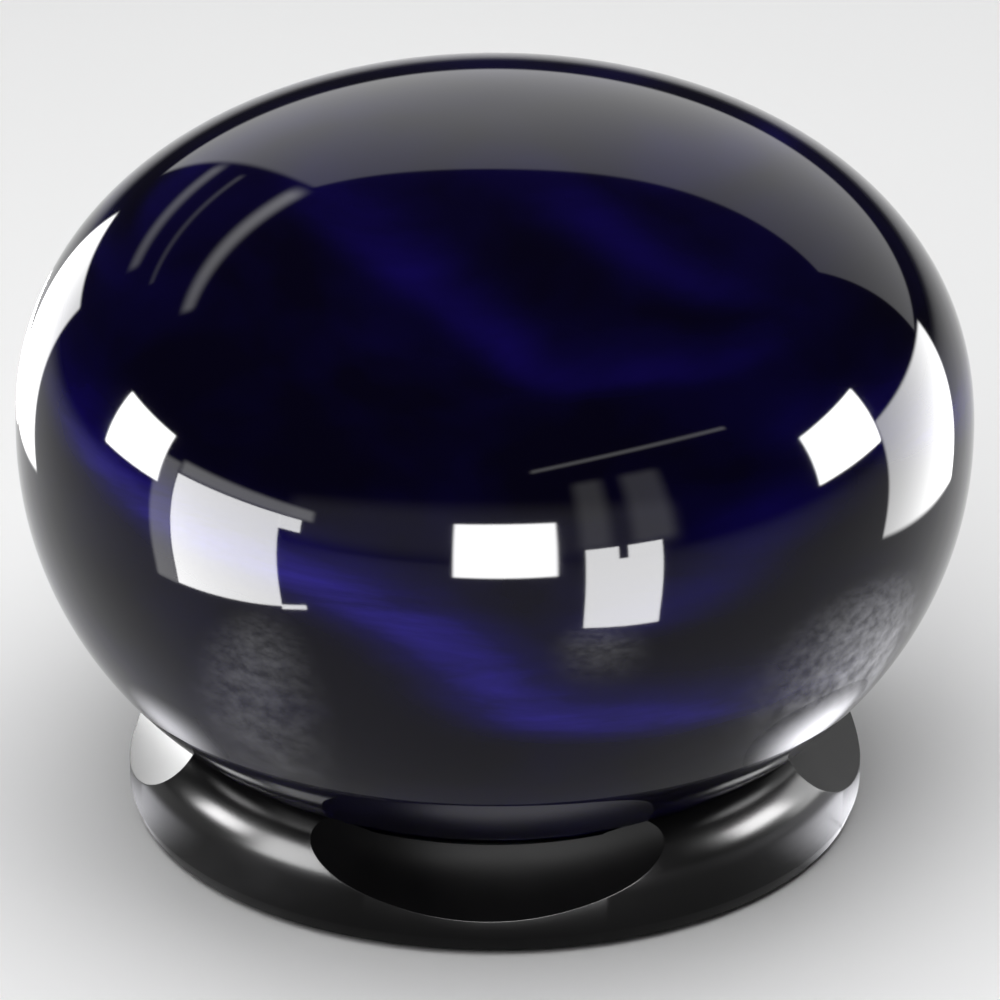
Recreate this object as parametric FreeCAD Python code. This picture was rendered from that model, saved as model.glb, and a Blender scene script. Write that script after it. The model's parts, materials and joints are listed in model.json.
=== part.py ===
"""Plasma ball: a flattened dark glass globe on a low round base with four ground facets.

Millimetres, +Z up. The origin is the centre of the underside, on the surface that the feet
stand on. The front facet faces -Y, and the recess with the power inlet and switch faces +Y.
"""
import FreeCAD, Part
import math
import os

from FreeCAD import Vector

# ---- driving dimensions: feet -------------------------------------------------------------
foot_height = 1.0
foot_radius = 5.0
foot_circle_radius = 44.0
foot_pocket_depth = 0.8
foot_chamfer = 0.4

# ---- globe --------------------------------------------------------------------------------
globe_radius = 75.15
globe_equator_z = 64.3
globe_upper_height = 52.7
globe_lower_height = 63.5
globe_upper_exponent = 2.2
globe_lower_exponent = 2.07
globe_wall = 2.5
globe_foot_z = 13.0
globe_mouth_radius = 38.0

# ---- base ---------------------------------------------------------------------------------
ring_radius = 58.5
ring_bottom_radius = 57.6
ring_chamfer_top_z = 3.3
shoulder_start_z = 9.2
shoulder_radius = 9.4
facet_wall_z = 6.4
facet_slope = 0.961
facet_count = 4
facet_reach = 30.0
facet_half_width = 60.0

seat_gap = 0.35
seat_pocket_radius = 46.3
seat_pocket_depth = 1.5
pad_outer_radius = 45.2
pad_inner_radius = 40.5
shelf_top_z = 12.0
shelf_bottom_z = 10.2
shelf_inner_radius = 38.0
chamber_radius = 52.5
chamber_chamfer = 1.8

cover_radius = 55.4
cover_top_z = 3.2
cover_play = 0.2
cover_screw_circle_radius = 49.5
boss_radius = 3.5
vent_count = 5
vent_pitch = 5.0
vent_width = 2.2
vent_length = 20.0
vent_corner = 1.05

recess_half_width = 17.0
recess_wall = 2.0
recess_floor_z = 4.8
panel_outer_y = 50.0
panel_thickness = 2.0

# ---- screws -------------------------------------------------------------------------------
cover_screw_radius = 1.15
cover_screw_head_radius = 2.7
cover_screw_head_height = 1.3
cover_screw_way_radius = 1.4
cover_screw_sink_radius = 3.0
cover_screw_seat = 0.8
cover_screw_end_gap = 1.5
cover_pilot_radius = 1.2
cover_pilot_end_gap = 0.6
board_screw_radius = 0.9
board_screw_head_radius = 1.9
board_screw_head_height = 1.3
board_screw_way_radius = 1.1
board_screw_floor = 1.8
board_pilot_radius = 0.95
board_pilot_floor = 1.2
cross_depth_share = 0.6
cross_length_share = 0.6
cross_width_share = 0.18

# ---- inner glass and its lead -------------------------------------------------------------
dome_radius = 38.0
dome_wall = 2.0
dome_top_z = 28.0
flange_radius = 43.5
stem_radius = 7.0
stem_bore_radius = 5.0
bulb_radius = 14.5
bulb_wall = 1.5
bulb_centre_z = 71.0
wool_radius = 11.5
tip_x = 14.0
tip_y = 14.0
tip_radius = 2.4
tip_length = 5.0

lead_radius = 1.3
lead_bend = 3.0
lead_play = 0.02
rod_radius = 0.5
lead_exit_z = 16.0
lead_top_z = 55.0
bung_head_radius = 6.5
bung_head_height = 1.5
bung_plug_height = 4.0
bung_squeeze = 0.1

# ---- circuit board ------------------------------------------------------------------------
board_radius = 44.0
board_bottom_z = 5.0
board_thickness = 1.6
board_tab_half_width = 15.0
board_tab_start_y = 30.0
board_panel_gap = 0.4
board_screw_circle_radius = 38.0
standoff_radius = 2.8

# ---- inlet, switch and microphone ---------------------------------------------------------
inlet_x = -9.0
inlet_width = 8.94
inlet_height = 3.2
inlet_length = 7.4
inlet_wall = 0.3
inlet_back_wall = 1.0
inlet_corner = 1.55
inlet_play = 0.3
inlet_front_y = 49.6
tongue_width = 6.7
tongue_height = 0.7
tongue_corner = 0.2
tongue_set_back = 0.8

switch_travel = 4.0
switch_off_x = 5.0
switch_wall = 2.5
switch_depth = 5.6
switch_channel_depth = 3.6
knob_width = 3.0
knob_height = 2.0
knob_play = 0.3
knob_root_depth = 3.2
knob_stand_out = 2.6
knob_chamfer = 0.3
grip_offset = 0.6
grip_width = 0.4
grip_depth = 0.3
microphone_x = -1.8
microphone_radius = 1.6
microphone_depth = 3.0
microphone_mouth_radius = 0.5
microphone_mouth_depth = 0.6
sound_hole_radius = 0.7

# ---- transformer --------------------------------------------------------------------------
transformer_y = -12.0
core_lift = 1.0
core_width = 20.0
core_depth = 6.0
core_height = 17.0
core_leg = 3.5
core_centre_leg = 5.0
core_back = 3.0
bobbin_end_play = 0.1
bobbin_bore_play = 0.2
bobbin_sleeve = 1.8
bobbin_flange_x = 12.6
bobbin_flange_y = 14.0
bobbin_flange_thickness = 0.9
bobbin_flange_corner = 1.0
bobbin_sleeve_corner = 0.3
primary_thickness = 0.9
primary_corner = 0.8
hv_winding_x = 12.2
hv_winding_y = 13.0
hv_winding_corner = 1.6

# ---- transistor on its heat sink ----------------------------------------------------------
sink_inner_x = 22.0
sink_thickness = 2.0
sink_front_y = -14.0
sink_rear_y = 8.0
sink_top_z = 25.0
sink_fold_length = 5.0
sink_fold_lift = 3.0
sink_hole_radius = 1.6
transistor_y = -3.0
transistor_half_width = 5.0
transistor_depth = 4.5
transistor_bottom_z = 9.6
transistor_body_top_z = 18.6
tab_thickness = 1.3
tab_top_z = 24.8
tab_hole_z = 22.0
tab_hole_radius = 1.8
transistor_leg_count = 3
transistor_leg_pitch = 2.54
transistor_leg_width = 0.8
transistor_leg_inset = 2.3
transistor_leg_thickness = 0.5
transistor_screw_radius = 1.5
transistor_screw_length = 5.5
transistor_screw_head_radius = 2.7
transistor_screw_head_height = 1.6

# ---- small components ---------------------------------------------------------------------
bus_capacitor_place = (-23.0, -6.0)
bus_capacitor_radius = 5.0
bus_capacitor_height = 16.0
input_capacitor_place = (-22.0, 8.0)
input_capacitor_radius = 4.0
input_capacitor_height = 12.0
can_groove_lift = 2.0
can_groove_radius = 0.5
can_edge_radius = 0.6

film_x = (-6.0, 6.0)
film_y = (8.0, 13.0)
film_height = 9.0
film_corner = 0.6

chip_x = 12.0
chip_y = 26.0
chip_half_length = 4.4
chip_half_width = 2.0
chip_lift = 0.2
chip_top = 1.7
chip_leg_count = 7
chip_leg_pitch = 1.27
chip_leg_width = 0.4
chip_leg_reach = 3.0
chip_leg_thickness = 0.3

resistor_count = 4
resistor_pitch = 4.0
resistor_first_x = -16.0
resistor_start_y = 22.0
resistor_length = 6.5
resistor_radius = 1.05
resistor_cap_radius = 1.25
resistor_cap_length = 1.5

# ---- worked out from them -----------------------------------------------------------------
board_top_z = board_bottom_z + board_thickness
panel_inner_y = panel_outer_y - panel_thickness
board_rear_y = panel_inner_y - board_panel_gap
knob_middle_z = board_top_z + inlet_height / 2
under_dome_z = dome_top_z - dome_wall
core_bottom_z = board_top_z + core_lift
window_bottom_z = core_bottom_z + core_back
window_top_z = core_bottom_z + core_height - core_back
bobbin_low_z = window_bottom_z + bobbin_end_play
bobbin_high_z = window_top_z - bobbin_end_play
winding_z = (bobbin_low_z + bobbin_flange_thickness, bobbin_high_z - bobbin_flange_thickness)
sleeve_x = core_centre_leg + bobbin_sleeve
sleeve_y = core_depth + bobbin_sleeve
primary_x = sleeve_x + 2 * primary_thickness
primary_y = sleeve_y + 2 * primary_thickness
quarter_turns = [0, 90, 180, 270]
corner_turns = [45, 135, 225, 315]
X_AXIS = Vector(1, 0, 0)
Y_AXIS = Vector(0, 1, 0)
Z_AXIS = Vector(0, 0, 1)
ORIGIN = Vector(0, 0, 0)
FAR = 200.0


# ---- small helpers ------------------------------------------------------------------------
def save(name, shape):
    shape.exportStep(f"parts/{name}.step")


def cylinder(x, y, bottom, top, radius):
    return Part.makeCylinder(radius, top - bottom, Vector(x, y, bottom))


def pin(start, direction, radius, length):
    """A round bar from a point along a direction."""
    return Part.makeCylinder(radius, length, start, direction)


def tube(bottom, top, outer, inner):
    return cylinder(0, 0, bottom, top, outer).cut(cylinder(0, 0, bottom, top, inner))


def block(x_range, y_range, z_range):
    size = [high - low for low, high in (x_range, y_range, z_range)]
    return Part.makeBox(*size, Vector(x_range[0], y_range[0], z_range[0]))


def span(middle, width):
    """The two ends of a width about its middle."""
    return (middle - width / 2, middle + width / 2)


def long_edges(shape, axis):
    """The straight edges of a shape that run along an axis."""
    straight = [edge for edge in shape.Edges if isinstance(edge.Curve, Part.Line)]
    return [edge for edge in straight if abs(edge.tangentAt(0).dot(axis)) > 0.9]


def around(shape, turns):
    """Copies of a shape turned about the vertical axis, by degrees."""
    copies = []
    for turn in turns:
        copy = shape.copy()
        copy.rotate(ORIGIN, Z_AXIS, turn)
        copies.append(copy)
    return copies


def spun(edges):
    """The solid swept by a closed outline in the XZ plane, turned about the vertical axis."""
    face = Part.Face(Part.Wire(edges))
    return face.revolve(ORIGIN, Z_AXIS, 360)


def line(start, end):
    return Part.LineSegment(Vector(start[0], 0, start[1]), Vector(end[0], 0, end[1])).toShape()


def outline(points):
    """Straight edges through (radius, height) points."""
    return [line(start, end) for start, end in zip(points, points[1:])]


def closed_outline(points):
    return outline(points + points[:1])


def rounded_slot(centre_x, centre_z, width, height, y_range, corner):
    """A straight bar along Y with its four long edges rounded, for an opening or a shell."""
    bar = block(span(centre_x, width), y_range, span(centre_z, height))
    return bar.makeFillet(corner, long_edges(bar, Y_AXIS))


# ---- the globe's curve --------------------------------------------------------------------
def globe_point(angle, inset):
    """A point on the globe's outline: angle in degrees above the equator, inset from the skin."""
    upper = angle >= 0
    exponent = globe_upper_exponent if upper else globe_lower_exponent
    half_height = globe_upper_height if upper else globe_lower_height
    across = math.cos(math.radians(angle)) ** (2 / exponent)
    rise = math.sin(math.radians(abs(angle))) ** (2 / exponent)
    radius = (globe_radius - inset) * across
    height = (half_height - inset) * rise
    return radius, globe_equator_z + (height if upper else -height)


def globe_angle_at(height, inset):
    """The angle of the outline point at a height below the equator."""
    rise = (globe_equator_z - height) / (globe_lower_height - inset)
    return -math.degrees(math.asin(rise ** (globe_lower_exponent / 2)))


def globe_edge(inset, lowest_z):
    """One smooth edge from the top of the globe down to a height, and its lower end."""
    steps = 12
    lowest_angle = globe_angle_at(lowest_z, inset)
    angles = [90 - 90 * step / steps for step in range(steps)]
    angles += [lowest_angle * step / steps for step in range(steps + 1)]
    pairs = [globe_point(angle, inset) for angle in angles]
    pairs[0] = (0.0, pairs[0][1])
    points = [Vector(radius, 0, height) for radius, height in pairs]
    curve = Part.BSplineCurve()
    curve.interpolate(points)
    return curve.toShape(), pairs[-1]


def glass_globe():
    foot_top_z = globe_foot_z + globe_wall
    skin, skin_end = globe_edge(0, globe_foot_z)
    lining, lining_end = globe_edge(globe_wall, foot_top_z)
    top_z = globe_equator_z + globe_upper_height
    foot = outline([
        skin_end,
        (globe_mouth_radius, globe_foot_z),
        (globe_mouth_radius, foot_top_z),
        lining_end,
    ])
    axis_edge = line((0, top_z - globe_wall), (0, top_z))
    return spun([skin] + foot + [lining, axis_edge])


def electrode_glass():
    """Flange, dome, stem and bulb: the inner glass that seals the globe from below."""
    flange_z = globe_foot_z + globe_wall
    shell = tube(flange_z, flange_z + dome_wall, flange_radius, dome_radius - dome_wall)
    shell = shell.fuse(tube(flange_z, dome_top_z, dome_radius, dome_radius - dome_wall))
    shell = shell.fuse(tube(dome_top_z - dome_wall, dome_top_z, dome_radius, stem_bore_radius))
    shell = shell.fuse(cylinder(0, 0, dome_top_z - dome_wall, bulb_centre_z, stem_radius))
    shell = shell.fuse(Part.makeSphere(bulb_radius, Vector(0, 0, bulb_centre_z)))
    hollow = cylinder(0, 0, flange_z, bulb_centre_z, stem_bore_radius)
    hollow = hollow.fuse(Part.makeSphere(bulb_radius - bulb_wall, Vector(0, 0, bulb_centre_z)))
    return shell.cut(hollow).removeSplitter()


def exhaust_tip():
    """The sealed-off end of the tube that the globe was pumped out through."""
    end_z = under_dome_z - tip_length
    tip = cylinder(tip_x, tip_y, end_z, under_dome_z, tip_radius)
    return tip.fuse(Part.makeSphere(tip_radius, Vector(tip_x, tip_y, end_z))).removeSplitter()


def conductive_wool():
    ball = Part.makeSphere(wool_radius, Vector(0, 0, bulb_centre_z))
    return ball.cut(cylinder(0, 0, lead_top_z, bulb_centre_z, rod_radius))


def hv_rod():
    return cylinder(0, 0, lead_top_z, bulb_centre_z, rod_radius)


def hv_lead():
    """Insulated wire: out of the winding's side, then up the stem."""
    start = Vector(0, transformer_y + hv_winding_y / 2, lead_exit_z)
    bend_start = Vector(0, -lead_bend, lead_exit_z)
    bend_end = Vector(0, 0, lead_exit_z + lead_bend)
    drop = lead_bend * (1 - math.cos(math.pi / 4))
    bend_middle = Vector(0, -drop, lead_exit_z + drop)
    path = Part.Wire([
        Part.LineSegment(start, bend_start).toShape(),
        Part.Arc(bend_start, bend_middle, bend_end).toShape(),
        Part.LineSegment(bend_end, Vector(0, 0, lead_top_z)).toShape(),
    ])
    section = Part.Wire([Part.Circle(start, Y_AXIS, lead_radius).toShape()])
    return path.makePipeShell([section], True, True)


def stem_bung():
    """Silicone plug that holds the lead in the foot of the stem."""
    head_z = under_dome_z - bung_head_height
    plug_z = under_dome_z + bung_plug_height
    plug = cylinder(0, 0, head_z, under_dome_z, bung_head_radius)
    plug = plug.fuse(cylinder(0, 0, under_dome_z, plug_z, stem_bore_radius - bung_squeeze))
    return plug.cut(cylinder(0, 0, head_z, plug_z, lead_radius + lead_play))


def seat_pad():
    return tube(shelf_top_z, globe_foot_z, pad_outer_radius, pad_inner_radius)


# ---- the base -----------------------------------------------------------------------------
def base_blank():
    """The base's outer form before anything is cut: chamfer, wall and round shoulder."""
    shoulder_centre_r = ring_radius - shoulder_radius
    top_z = shoulder_start_z + shoulder_radius
    diagonal = shoulder_radius * math.sin(math.pi / 4)
    shoulder = Part.Arc(
        Vector(ring_radius, 0, shoulder_start_z),
        Vector(shoulder_centre_r + diagonal, 0, shoulder_start_z + diagonal),
        Vector(shoulder_centre_r, 0, top_z),
    ).toShape()
    wall = outline([
        (0, foot_height),
        (ring_bottom_radius, foot_height),
        (ring_radius, ring_chamfer_top_z),
        (ring_radius, shoulder_start_z),
    ])
    inside = outline([(shoulder_centre_r, top_z), (0, top_z), (0, foot_height)])
    return spun(wall + [shoulder] + inside)


def facet_cutter():
    """A wedge whose sloping face is the facet on the front of the base."""
    rise = facet_slope * facet_reach
    low = Vector(0, -(ring_radius + facet_reach), facet_wall_z - rise)
    high = Vector(0, -(ring_radius - facet_reach), facet_wall_z + rise)
    corner = Vector(0, low.y, high.z)
    edges = [
        Part.LineSegment(low, high).toShape(),
        Part.LineSegment(high, corner).toShape(),
        Part.LineSegment(corner, low).toShape(),
    ]
    wedge = Part.Face(Part.Wire(edges)).extrude(X_AXIS * 2 * facet_half_width)
    wedge.translate(X_AXIS * -facet_half_width)
    return wedge


def globe_seat():
    """The room that the globe's underside takes up in the base, with a small gap all round."""
    skin, skin_end = globe_edge(-seat_gap, globe_foot_z)
    top_z = globe_equator_z + globe_upper_height + seat_gap
    rest = outline([skin_end, (0, globe_foot_z), (0, top_z)])
    pocket = cylinder(0, 0, shelf_top_z, shelf_top_z + seat_pocket_depth, seat_pocket_radius)
    return spun([skin] + rest).fuse(pocket)


def chamber():
    """The space under the shelf for the electronics, square against the rear panel."""
    shoulder_z = shelf_bottom_z - chamber_chamfer
    room = spun(closed_outline([
        (0, cover_top_z),
        (chamber_radius, cover_top_z),
        (chamber_radius, shoulder_z),
        (chamber_radius - chamber_chamfer, shelf_bottom_z),
        (0, shelf_bottom_z),
    ]))
    side = recess_half_width + recess_wall
    return room.cut(block((-side, side), (panel_inner_y, FAR), (0, FAR)))


def cover_boss():
    return cylinder(cover_screw_circle_radius, 0, cover_top_z, shelf_bottom_z, boss_radius)


def cover_pilot():
    top_z = shelf_bottom_z - cover_pilot_end_gap
    return cylinder(cover_screw_circle_radius, 0, cover_top_z, top_z, cover_pilot_radius)


def knob_slot(play, y_range):
    """The room that the knob sweeps as it slides, with some play all round."""
    low_x = switch_off_x - knob_width / 2 - play
    high_x = switch_off_x + switch_travel + knob_width / 2 + play
    return block((low_x, high_x), y_range, span(knob_middle_z, knob_height + 2 * play))


def panel_openings():
    """Windows in the rear panel for the inlet, the switch knob and the microphone."""
    depth = (panel_inner_y - panel_thickness / 2, panel_outer_y + panel_thickness / 2)
    width = inlet_width + 2 * inlet_play
    height = inlet_height + 2 * inlet_play
    inlet = rounded_slot(inlet_x, knob_middle_z, width, height, depth, inlet_corner + inlet_play)
    sound_start = Vector(microphone_x, depth[0], knob_middle_z)
    sound_hole = pin(sound_start, Y_AXIS, sound_hole_radius, depth[1] - depth[0])
    return [inlet, knob_slot(knob_play, depth), sound_hole]


def base_ring():
    ring = base_blank()
    turns = [360 * index / facet_count for index in range(facet_count)]
    ring = ring.cut(around(facet_cutter(), turns))
    ring = ring.cut(globe_seat())
    ring = ring.cut(cylinder(0, 0, 0, FAR, shelf_inner_radius))
    ring = ring.cut(chamber())
    ring = ring.fuse(around(cover_boss(), corner_turns))
    ring = ring.cut(cylinder(0, 0, foot_height, cover_top_z, cover_radius + cover_play))
    recess_x = (-recess_half_width, recess_half_width)
    recess = block(recess_x, (panel_outer_y, FAR), (recess_floor_z, FAR))
    ring = ring.cut([recess] + panel_openings() + around(cover_pilot(), corner_turns))
    return ring.removeSplitter()


def vent_slot(index):
    middle_x = (index - (vent_count - 1) / 2) * vent_pitch
    slot = block(span(middle_x, vent_width), span(0, vent_length), (foot_height, cover_top_z))
    return slot.makeFillet(vent_corner, long_edges(slot, Z_AXIS))


def bottom_cover():
    """The disc that closes the base: foot pockets, screw ways, board standoffs and vents."""
    cover = cylinder(0, 0, foot_height, cover_top_z, cover_radius)
    post = cylinder(board_screw_circle_radius, 0, cover_top_z, board_bottom_z, standoff_radius)
    cover = cover.fuse(around(post, corner_turns))
    pocket_z = foot_height + foot_pocket_depth
    pocket = cylinder(foot_circle_radius, 0, foot_height, pocket_z, foot_radius)
    circle = cover_screw_circle_radius
    screw_way = cylinder(circle, 0, foot_height, cover_top_z, cover_screw_way_radius)
    sink_z = cover_top_z - cover_screw_seat
    screw_sink = cylinder(circle, 0, foot_height, sink_z, cover_screw_sink_radius)
    pilot_z = foot_height + board_pilot_floor
    pilot = cylinder(board_screw_circle_radius, 0, pilot_z, board_bottom_z, board_pilot_radius)
    cover = cover.cut(around(pocket, quarter_turns))
    cover = cover.cut(around(screw_way.fuse(screw_sink), corner_turns))
    cover = cover.cut(around(pilot, corner_turns))
    cover = cover.cut([vent_slot(index) for index in range(vent_count)])
    return cover.removeSplitter()


def rubber_feet():
    foot = cylinder(foot_circle_radius, 0, 0, foot_height + foot_pocket_depth, foot_radius)
    rim = [edge for edge in foot.Edges if abs(edge.BoundBox.ZMax) < 1e-6]
    foot = foot.makeChamfer(foot_chamfer, rim)
    return Part.makeCompound(around(foot, quarter_turns))


def screw(circle_radius, head_radius, head_height, shank_radius, shank_length):
    """A pan head on a shank, head up and with a cross slot, its seat at height zero."""
    head = cylinder(circle_radius, 0, 0, head_height, head_radius)
    shank = cylinder(circle_radius, 0, -shank_length, 0, shank_radius)
    slot_z = (head_height * (1 - cross_depth_share), head_height)
    length = 2 * cross_length_share * head_radius
    width = 2 * cross_width_share * head_radius
    cross = [
        block(span(circle_radius, length), span(0, width), slot_z),
        block(span(circle_radius, width), span(0, length), slot_z),
    ]
    return head.fuse(shank).cut(cross).removeSplitter()


def cover_screws():
    """Four screws up through the cover into the base's bosses."""
    seat_z = cover_top_z - cover_screw_seat
    one = screw(
        cover_screw_circle_radius,
        cover_screw_head_radius,
        cover_screw_head_height,
        cover_screw_radius,
        shelf_bottom_z - cover_screw_end_gap - seat_z,
    )
    one.rotate(ORIGIN, X_AXIS, 180)
    one.translate(Z_AXIS * seat_z)
    return Part.makeCompound(around(one, corner_turns))


def board_screws():
    """Four screws down through the board into the cover's standoffs."""
    one = screw(
        board_screw_circle_radius,
        board_screw_head_radius,
        board_screw_head_height,
        board_screw_radius,
        board_top_z - foot_height - board_screw_floor,
    )
    one.translate(Z_AXIS * board_top_z)
    return Part.makeCompound(around(one, corner_turns))


# ---- the electronics ----------------------------------------------------------------------
def circuit_board():
    height = (board_bottom_z, board_top_z)
    board = cylinder(0, 0, *height, board_radius)
    tab = block(span(0, 2 * board_tab_half_width), (board_tab_start_y, board_rear_y), height)
    screw_way = cylinder(board_screw_circle_radius, 0, *height, board_screw_way_radius)
    return board.fuse(tab).cut(around(screw_way, corner_turns)).removeSplitter()


def core_half(back_z, open_z):
    """An E of ferrite whose back is at one height and whose legs end at another."""
    low, high = sorted((back_z, open_z))
    depth = span(transformer_y, core_depth)
    half = block(span(0, core_width), depth, (low, high))
    legs_z = (low + core_back, high) if back_z < open_z else (low, high - core_back)
    for side in (-1, 1):
        window_x = sorted((side * core_centre_leg / 2, side * (core_width / 2 - core_leg)))
        half = half.cut(block(window_x, depth, legs_z))
    return half


def core_halves():
    middle_z = core_bottom_z + core_height / 2
    lower = core_half(core_bottom_z, middle_z)
    upper = core_half(core_bottom_z + core_height, middle_z)
    return Part.makeCompound([lower, upper])


def square_tube(outer, inner, z_range, corner):
    """A rectangular sleeve with rounded outer corners, about the transformer's centre leg."""
    body = block(span(0, outer[0]), span(transformer_y, outer[1]), z_range)
    bore = block(span(0, inner[0]), span(transformer_y, inner[1]), z_range)
    return body.makeFillet(corner, long_edges(body, Z_AXIS)).cut(bore)


def transformer_bobbin():
    bore = (core_centre_leg + bobbin_bore_play, core_depth + bobbin_bore_play)
    height = (bobbin_low_z, bobbin_high_z)
    spool = square_tube((sleeve_x, sleeve_y), bore, height, bobbin_sleeve_corner)
    for bottom in (bobbin_low_z, winding_z[1]):
        flange_z = (bottom, bottom + bobbin_flange_thickness)
        size = (bobbin_flange_x, bobbin_flange_y)
        spool = spool.fuse(square_tube(size, bore, flange_z, bobbin_flange_corner))
    return spool.removeSplitter()


def primary_winding():
    return square_tube((primary_x, primary_y), (sleeve_x, sleeve_y), winding_z, primary_corner)


def hv_winding():
    size = (hv_winding_x, hv_winding_y)
    return square_tube(size, (primary_x, primary_y), winding_z, hv_winding_corner)


def heat_sink():
    """An upright aluminium plate with a stiffening fold along its foot."""
    sink_outer_x = sink_inner_x + sink_thickness
    length = (sink_front_y, sink_rear_y)
    plate = block((sink_inner_x, sink_outer_x), length, (board_top_z, sink_top_z))
    fold_z = board_top_z + sink_fold_lift
    fold_x = (sink_outer_x, sink_outer_x + sink_fold_length)
    fold = block(fold_x, length, (fold_z, fold_z + sink_thickness))
    hole_start = Vector(sink_inner_x, transistor_y, tab_hole_z)
    hole = pin(hole_start, X_AXIS, sink_hole_radius, sink_thickness)
    return plate.fuse(fold).cut(hole).removeSplitter()


def power_transistor():
    """A moulded body with a metal tab above it, flat on the sink, and its legs in the board."""
    width = span(transistor_y, 2 * transistor_half_width)
    body_z = (transistor_bottom_z, transistor_body_top_z)
    body = block((sink_inner_x - transistor_depth, sink_inner_x), width, body_z)
    tab_x = (sink_inner_x - tab_thickness, sink_inner_x)
    tab = block(tab_x, width, (transistor_body_top_z, tab_top_z))
    hole_start = Vector(tab_x[0], transistor_y, tab_hole_z)
    tab = tab.cut(pin(hole_start, X_AXIS, tab_hole_radius, tab_thickness))
    legs = []
    leg_x = sink_inner_x - transistor_leg_inset
    for index in range(transistor_leg_count):
        offset = (index - (transistor_leg_count - 1) / 2) * transistor_leg_pitch
        leg_y = span(transistor_y + offset, transistor_leg_width)
        leg_z = (board_top_z, transistor_bottom_z)
        legs.append(block((leg_x - transistor_leg_thickness, leg_x), leg_y, leg_z))
    return body.fuse([tab] + legs).removeSplitter()


def transistor_screw():
    seat = Vector(sink_inner_x - tab_thickness, transistor_y, tab_hole_z)
    head = pin(seat, -X_AXIS, transistor_screw_head_radius, transistor_screw_head_height)
    shank = pin(seat, X_AXIS, transistor_screw_radius, transistor_screw_length)
    return head.fuse(shank).removeSplitter()


def can_capacitor(place, radius, height):
    """An upright can with a rolled groove near its foot and a rounded top edge."""
    top = board_top_z + height
    can = cylinder(*place, board_top_z, top, radius)
    groove_middle = Vector(*place, board_top_z + can_groove_lift)
    groove = Part.makeTorus(radius, can_groove_radius, groove_middle)
    top_edge = [edge for edge in can.Edges if abs(edge.BoundBox.ZMin - top) < 1e-3]
    return can.makeFillet(can_edge_radius, top_edge).cut(groove)


def bus_capacitor():
    return can_capacitor(bus_capacitor_place, bus_capacitor_radius, bus_capacitor_height)


def input_capacitor():
    return can_capacitor(input_capacitor_place, input_capacitor_radius, input_capacitor_height)


def film_capacitor():
    case = block(film_x, film_y, (board_top_z, board_top_z + film_height))
    upper_edges = [edge for edge in case.Edges if edge.BoundBox.ZMax > board_top_z + film_corner]
    return case.makeFillet(film_corner, upper_edges)


def driver_chip():
    length = span(chip_x, 2 * chip_half_length)
    width = span(chip_y, 2 * chip_half_width)
    body = block(length, width, (board_top_z + chip_lift, board_top_z + chip_top))
    leg_y = span(chip_y, 2 * chip_leg_reach)
    leg_z = (board_top_z, board_top_z + chip_leg_thickness)
    legs = []
    for index in range(chip_leg_count):
        leg_x = chip_x + (index - (chip_leg_count - 1) / 2) * chip_leg_pitch
        legs.append(block(span(leg_x, chip_leg_width), leg_y, leg_z))
    return body.fuse(legs).removeSplitter()


def resistors():
    """Axial resistors lying side by side, each with its end caps a little thicker."""
    pieces = []
    for index in range(resistor_count):
        middle_x = resistor_first_x + index * resistor_pitch
        middle_z = board_top_z + resistor_cap_radius
        start = Vector(middle_x, resistor_start_y, middle_z)
        far_cap = start + Y_AXIS * (resistor_length - resistor_cap_length)
        body = pin(start, Y_AXIS, resistor_radius, resistor_length)
        for cap_start in (start, far_cap):
            body = body.fuse(pin(cap_start, Y_AXIS, resistor_cap_radius, resistor_cap_length))
        pieces.append(body.removeSplitter())
    return Part.makeCompound(pieces)


def microphone():
    start = Vector(microphone_x, board_rear_y - microphone_depth, knob_middle_z)
    capsule = pin(start, Y_AXIS, microphone_radius, microphone_depth)
    mouth_start = start + Y_AXIS * (microphone_depth - microphone_mouth_depth)
    return capsule.cut(pin(mouth_start, Y_AXIS, microphone_mouth_radius, microphone_mouth_depth))


def inlet_shell():
    """The inlet's drawn metal shell: open towards the rear, closed inside."""
    back_y = inlet_front_y - inlet_length
    outer_y = (back_y, inlet_front_y)
    outer = rounded_slot(
        inlet_x, knob_middle_z, inlet_width, inlet_height, outer_y, inlet_corner
    )
    width = inlet_width - 2 * inlet_wall
    height = inlet_height - 2 * inlet_wall
    inner_y = (back_y + inlet_back_wall, inlet_front_y)
    corner = inlet_corner - inlet_wall
    return outer.cut(rounded_slot(inlet_x, knob_middle_z, width, height, inner_y, corner))


def inlet_tongue():
    back_y = inlet_front_y - inlet_length + inlet_back_wall
    depth = (back_y, inlet_front_y - tongue_set_back)
    return rounded_slot(inlet_x, knob_middle_z, tongue_width, tongue_height, depth, tongue_corner)


def switch_body():
    """The switch's case, open towards the panel where its knob slides."""
    low_x = switch_off_x - knob_width / 2 - switch_wall
    high_x = switch_off_x + switch_travel + knob_width / 2 + switch_wall
    depth = (board_rear_y - switch_depth, board_rear_y)
    body = block((low_x, high_x), depth, (board_top_z, board_top_z + inlet_height))
    return body.cut(knob_slot(knob_play, (board_rear_y - switch_channel_depth, board_rear_y)))


def switch_knob():
    """The slider: a bar out of the switch through the panel, with two grip grooves."""
    tip_y = panel_outer_y + knob_stand_out
    height = span(knob_middle_z, knob_height)
    bar = block(span(switch_off_x, knob_width), (board_rear_y - knob_root_depth, tip_y), height)
    tip_edges = [edge for edge in bar.Edges if edge.BoundBox.YMin > tip_y - 0.01]
    bar = bar.makeChamfer(knob_chamfer, tip_edges)
    for offset in (-grip_offset, grip_offset):
        groove_x = span(switch_off_x + offset, grip_width)
        bar = bar.cut(block(groove_x, (tip_y - grip_depth, tip_y), height))
    return bar


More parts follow.
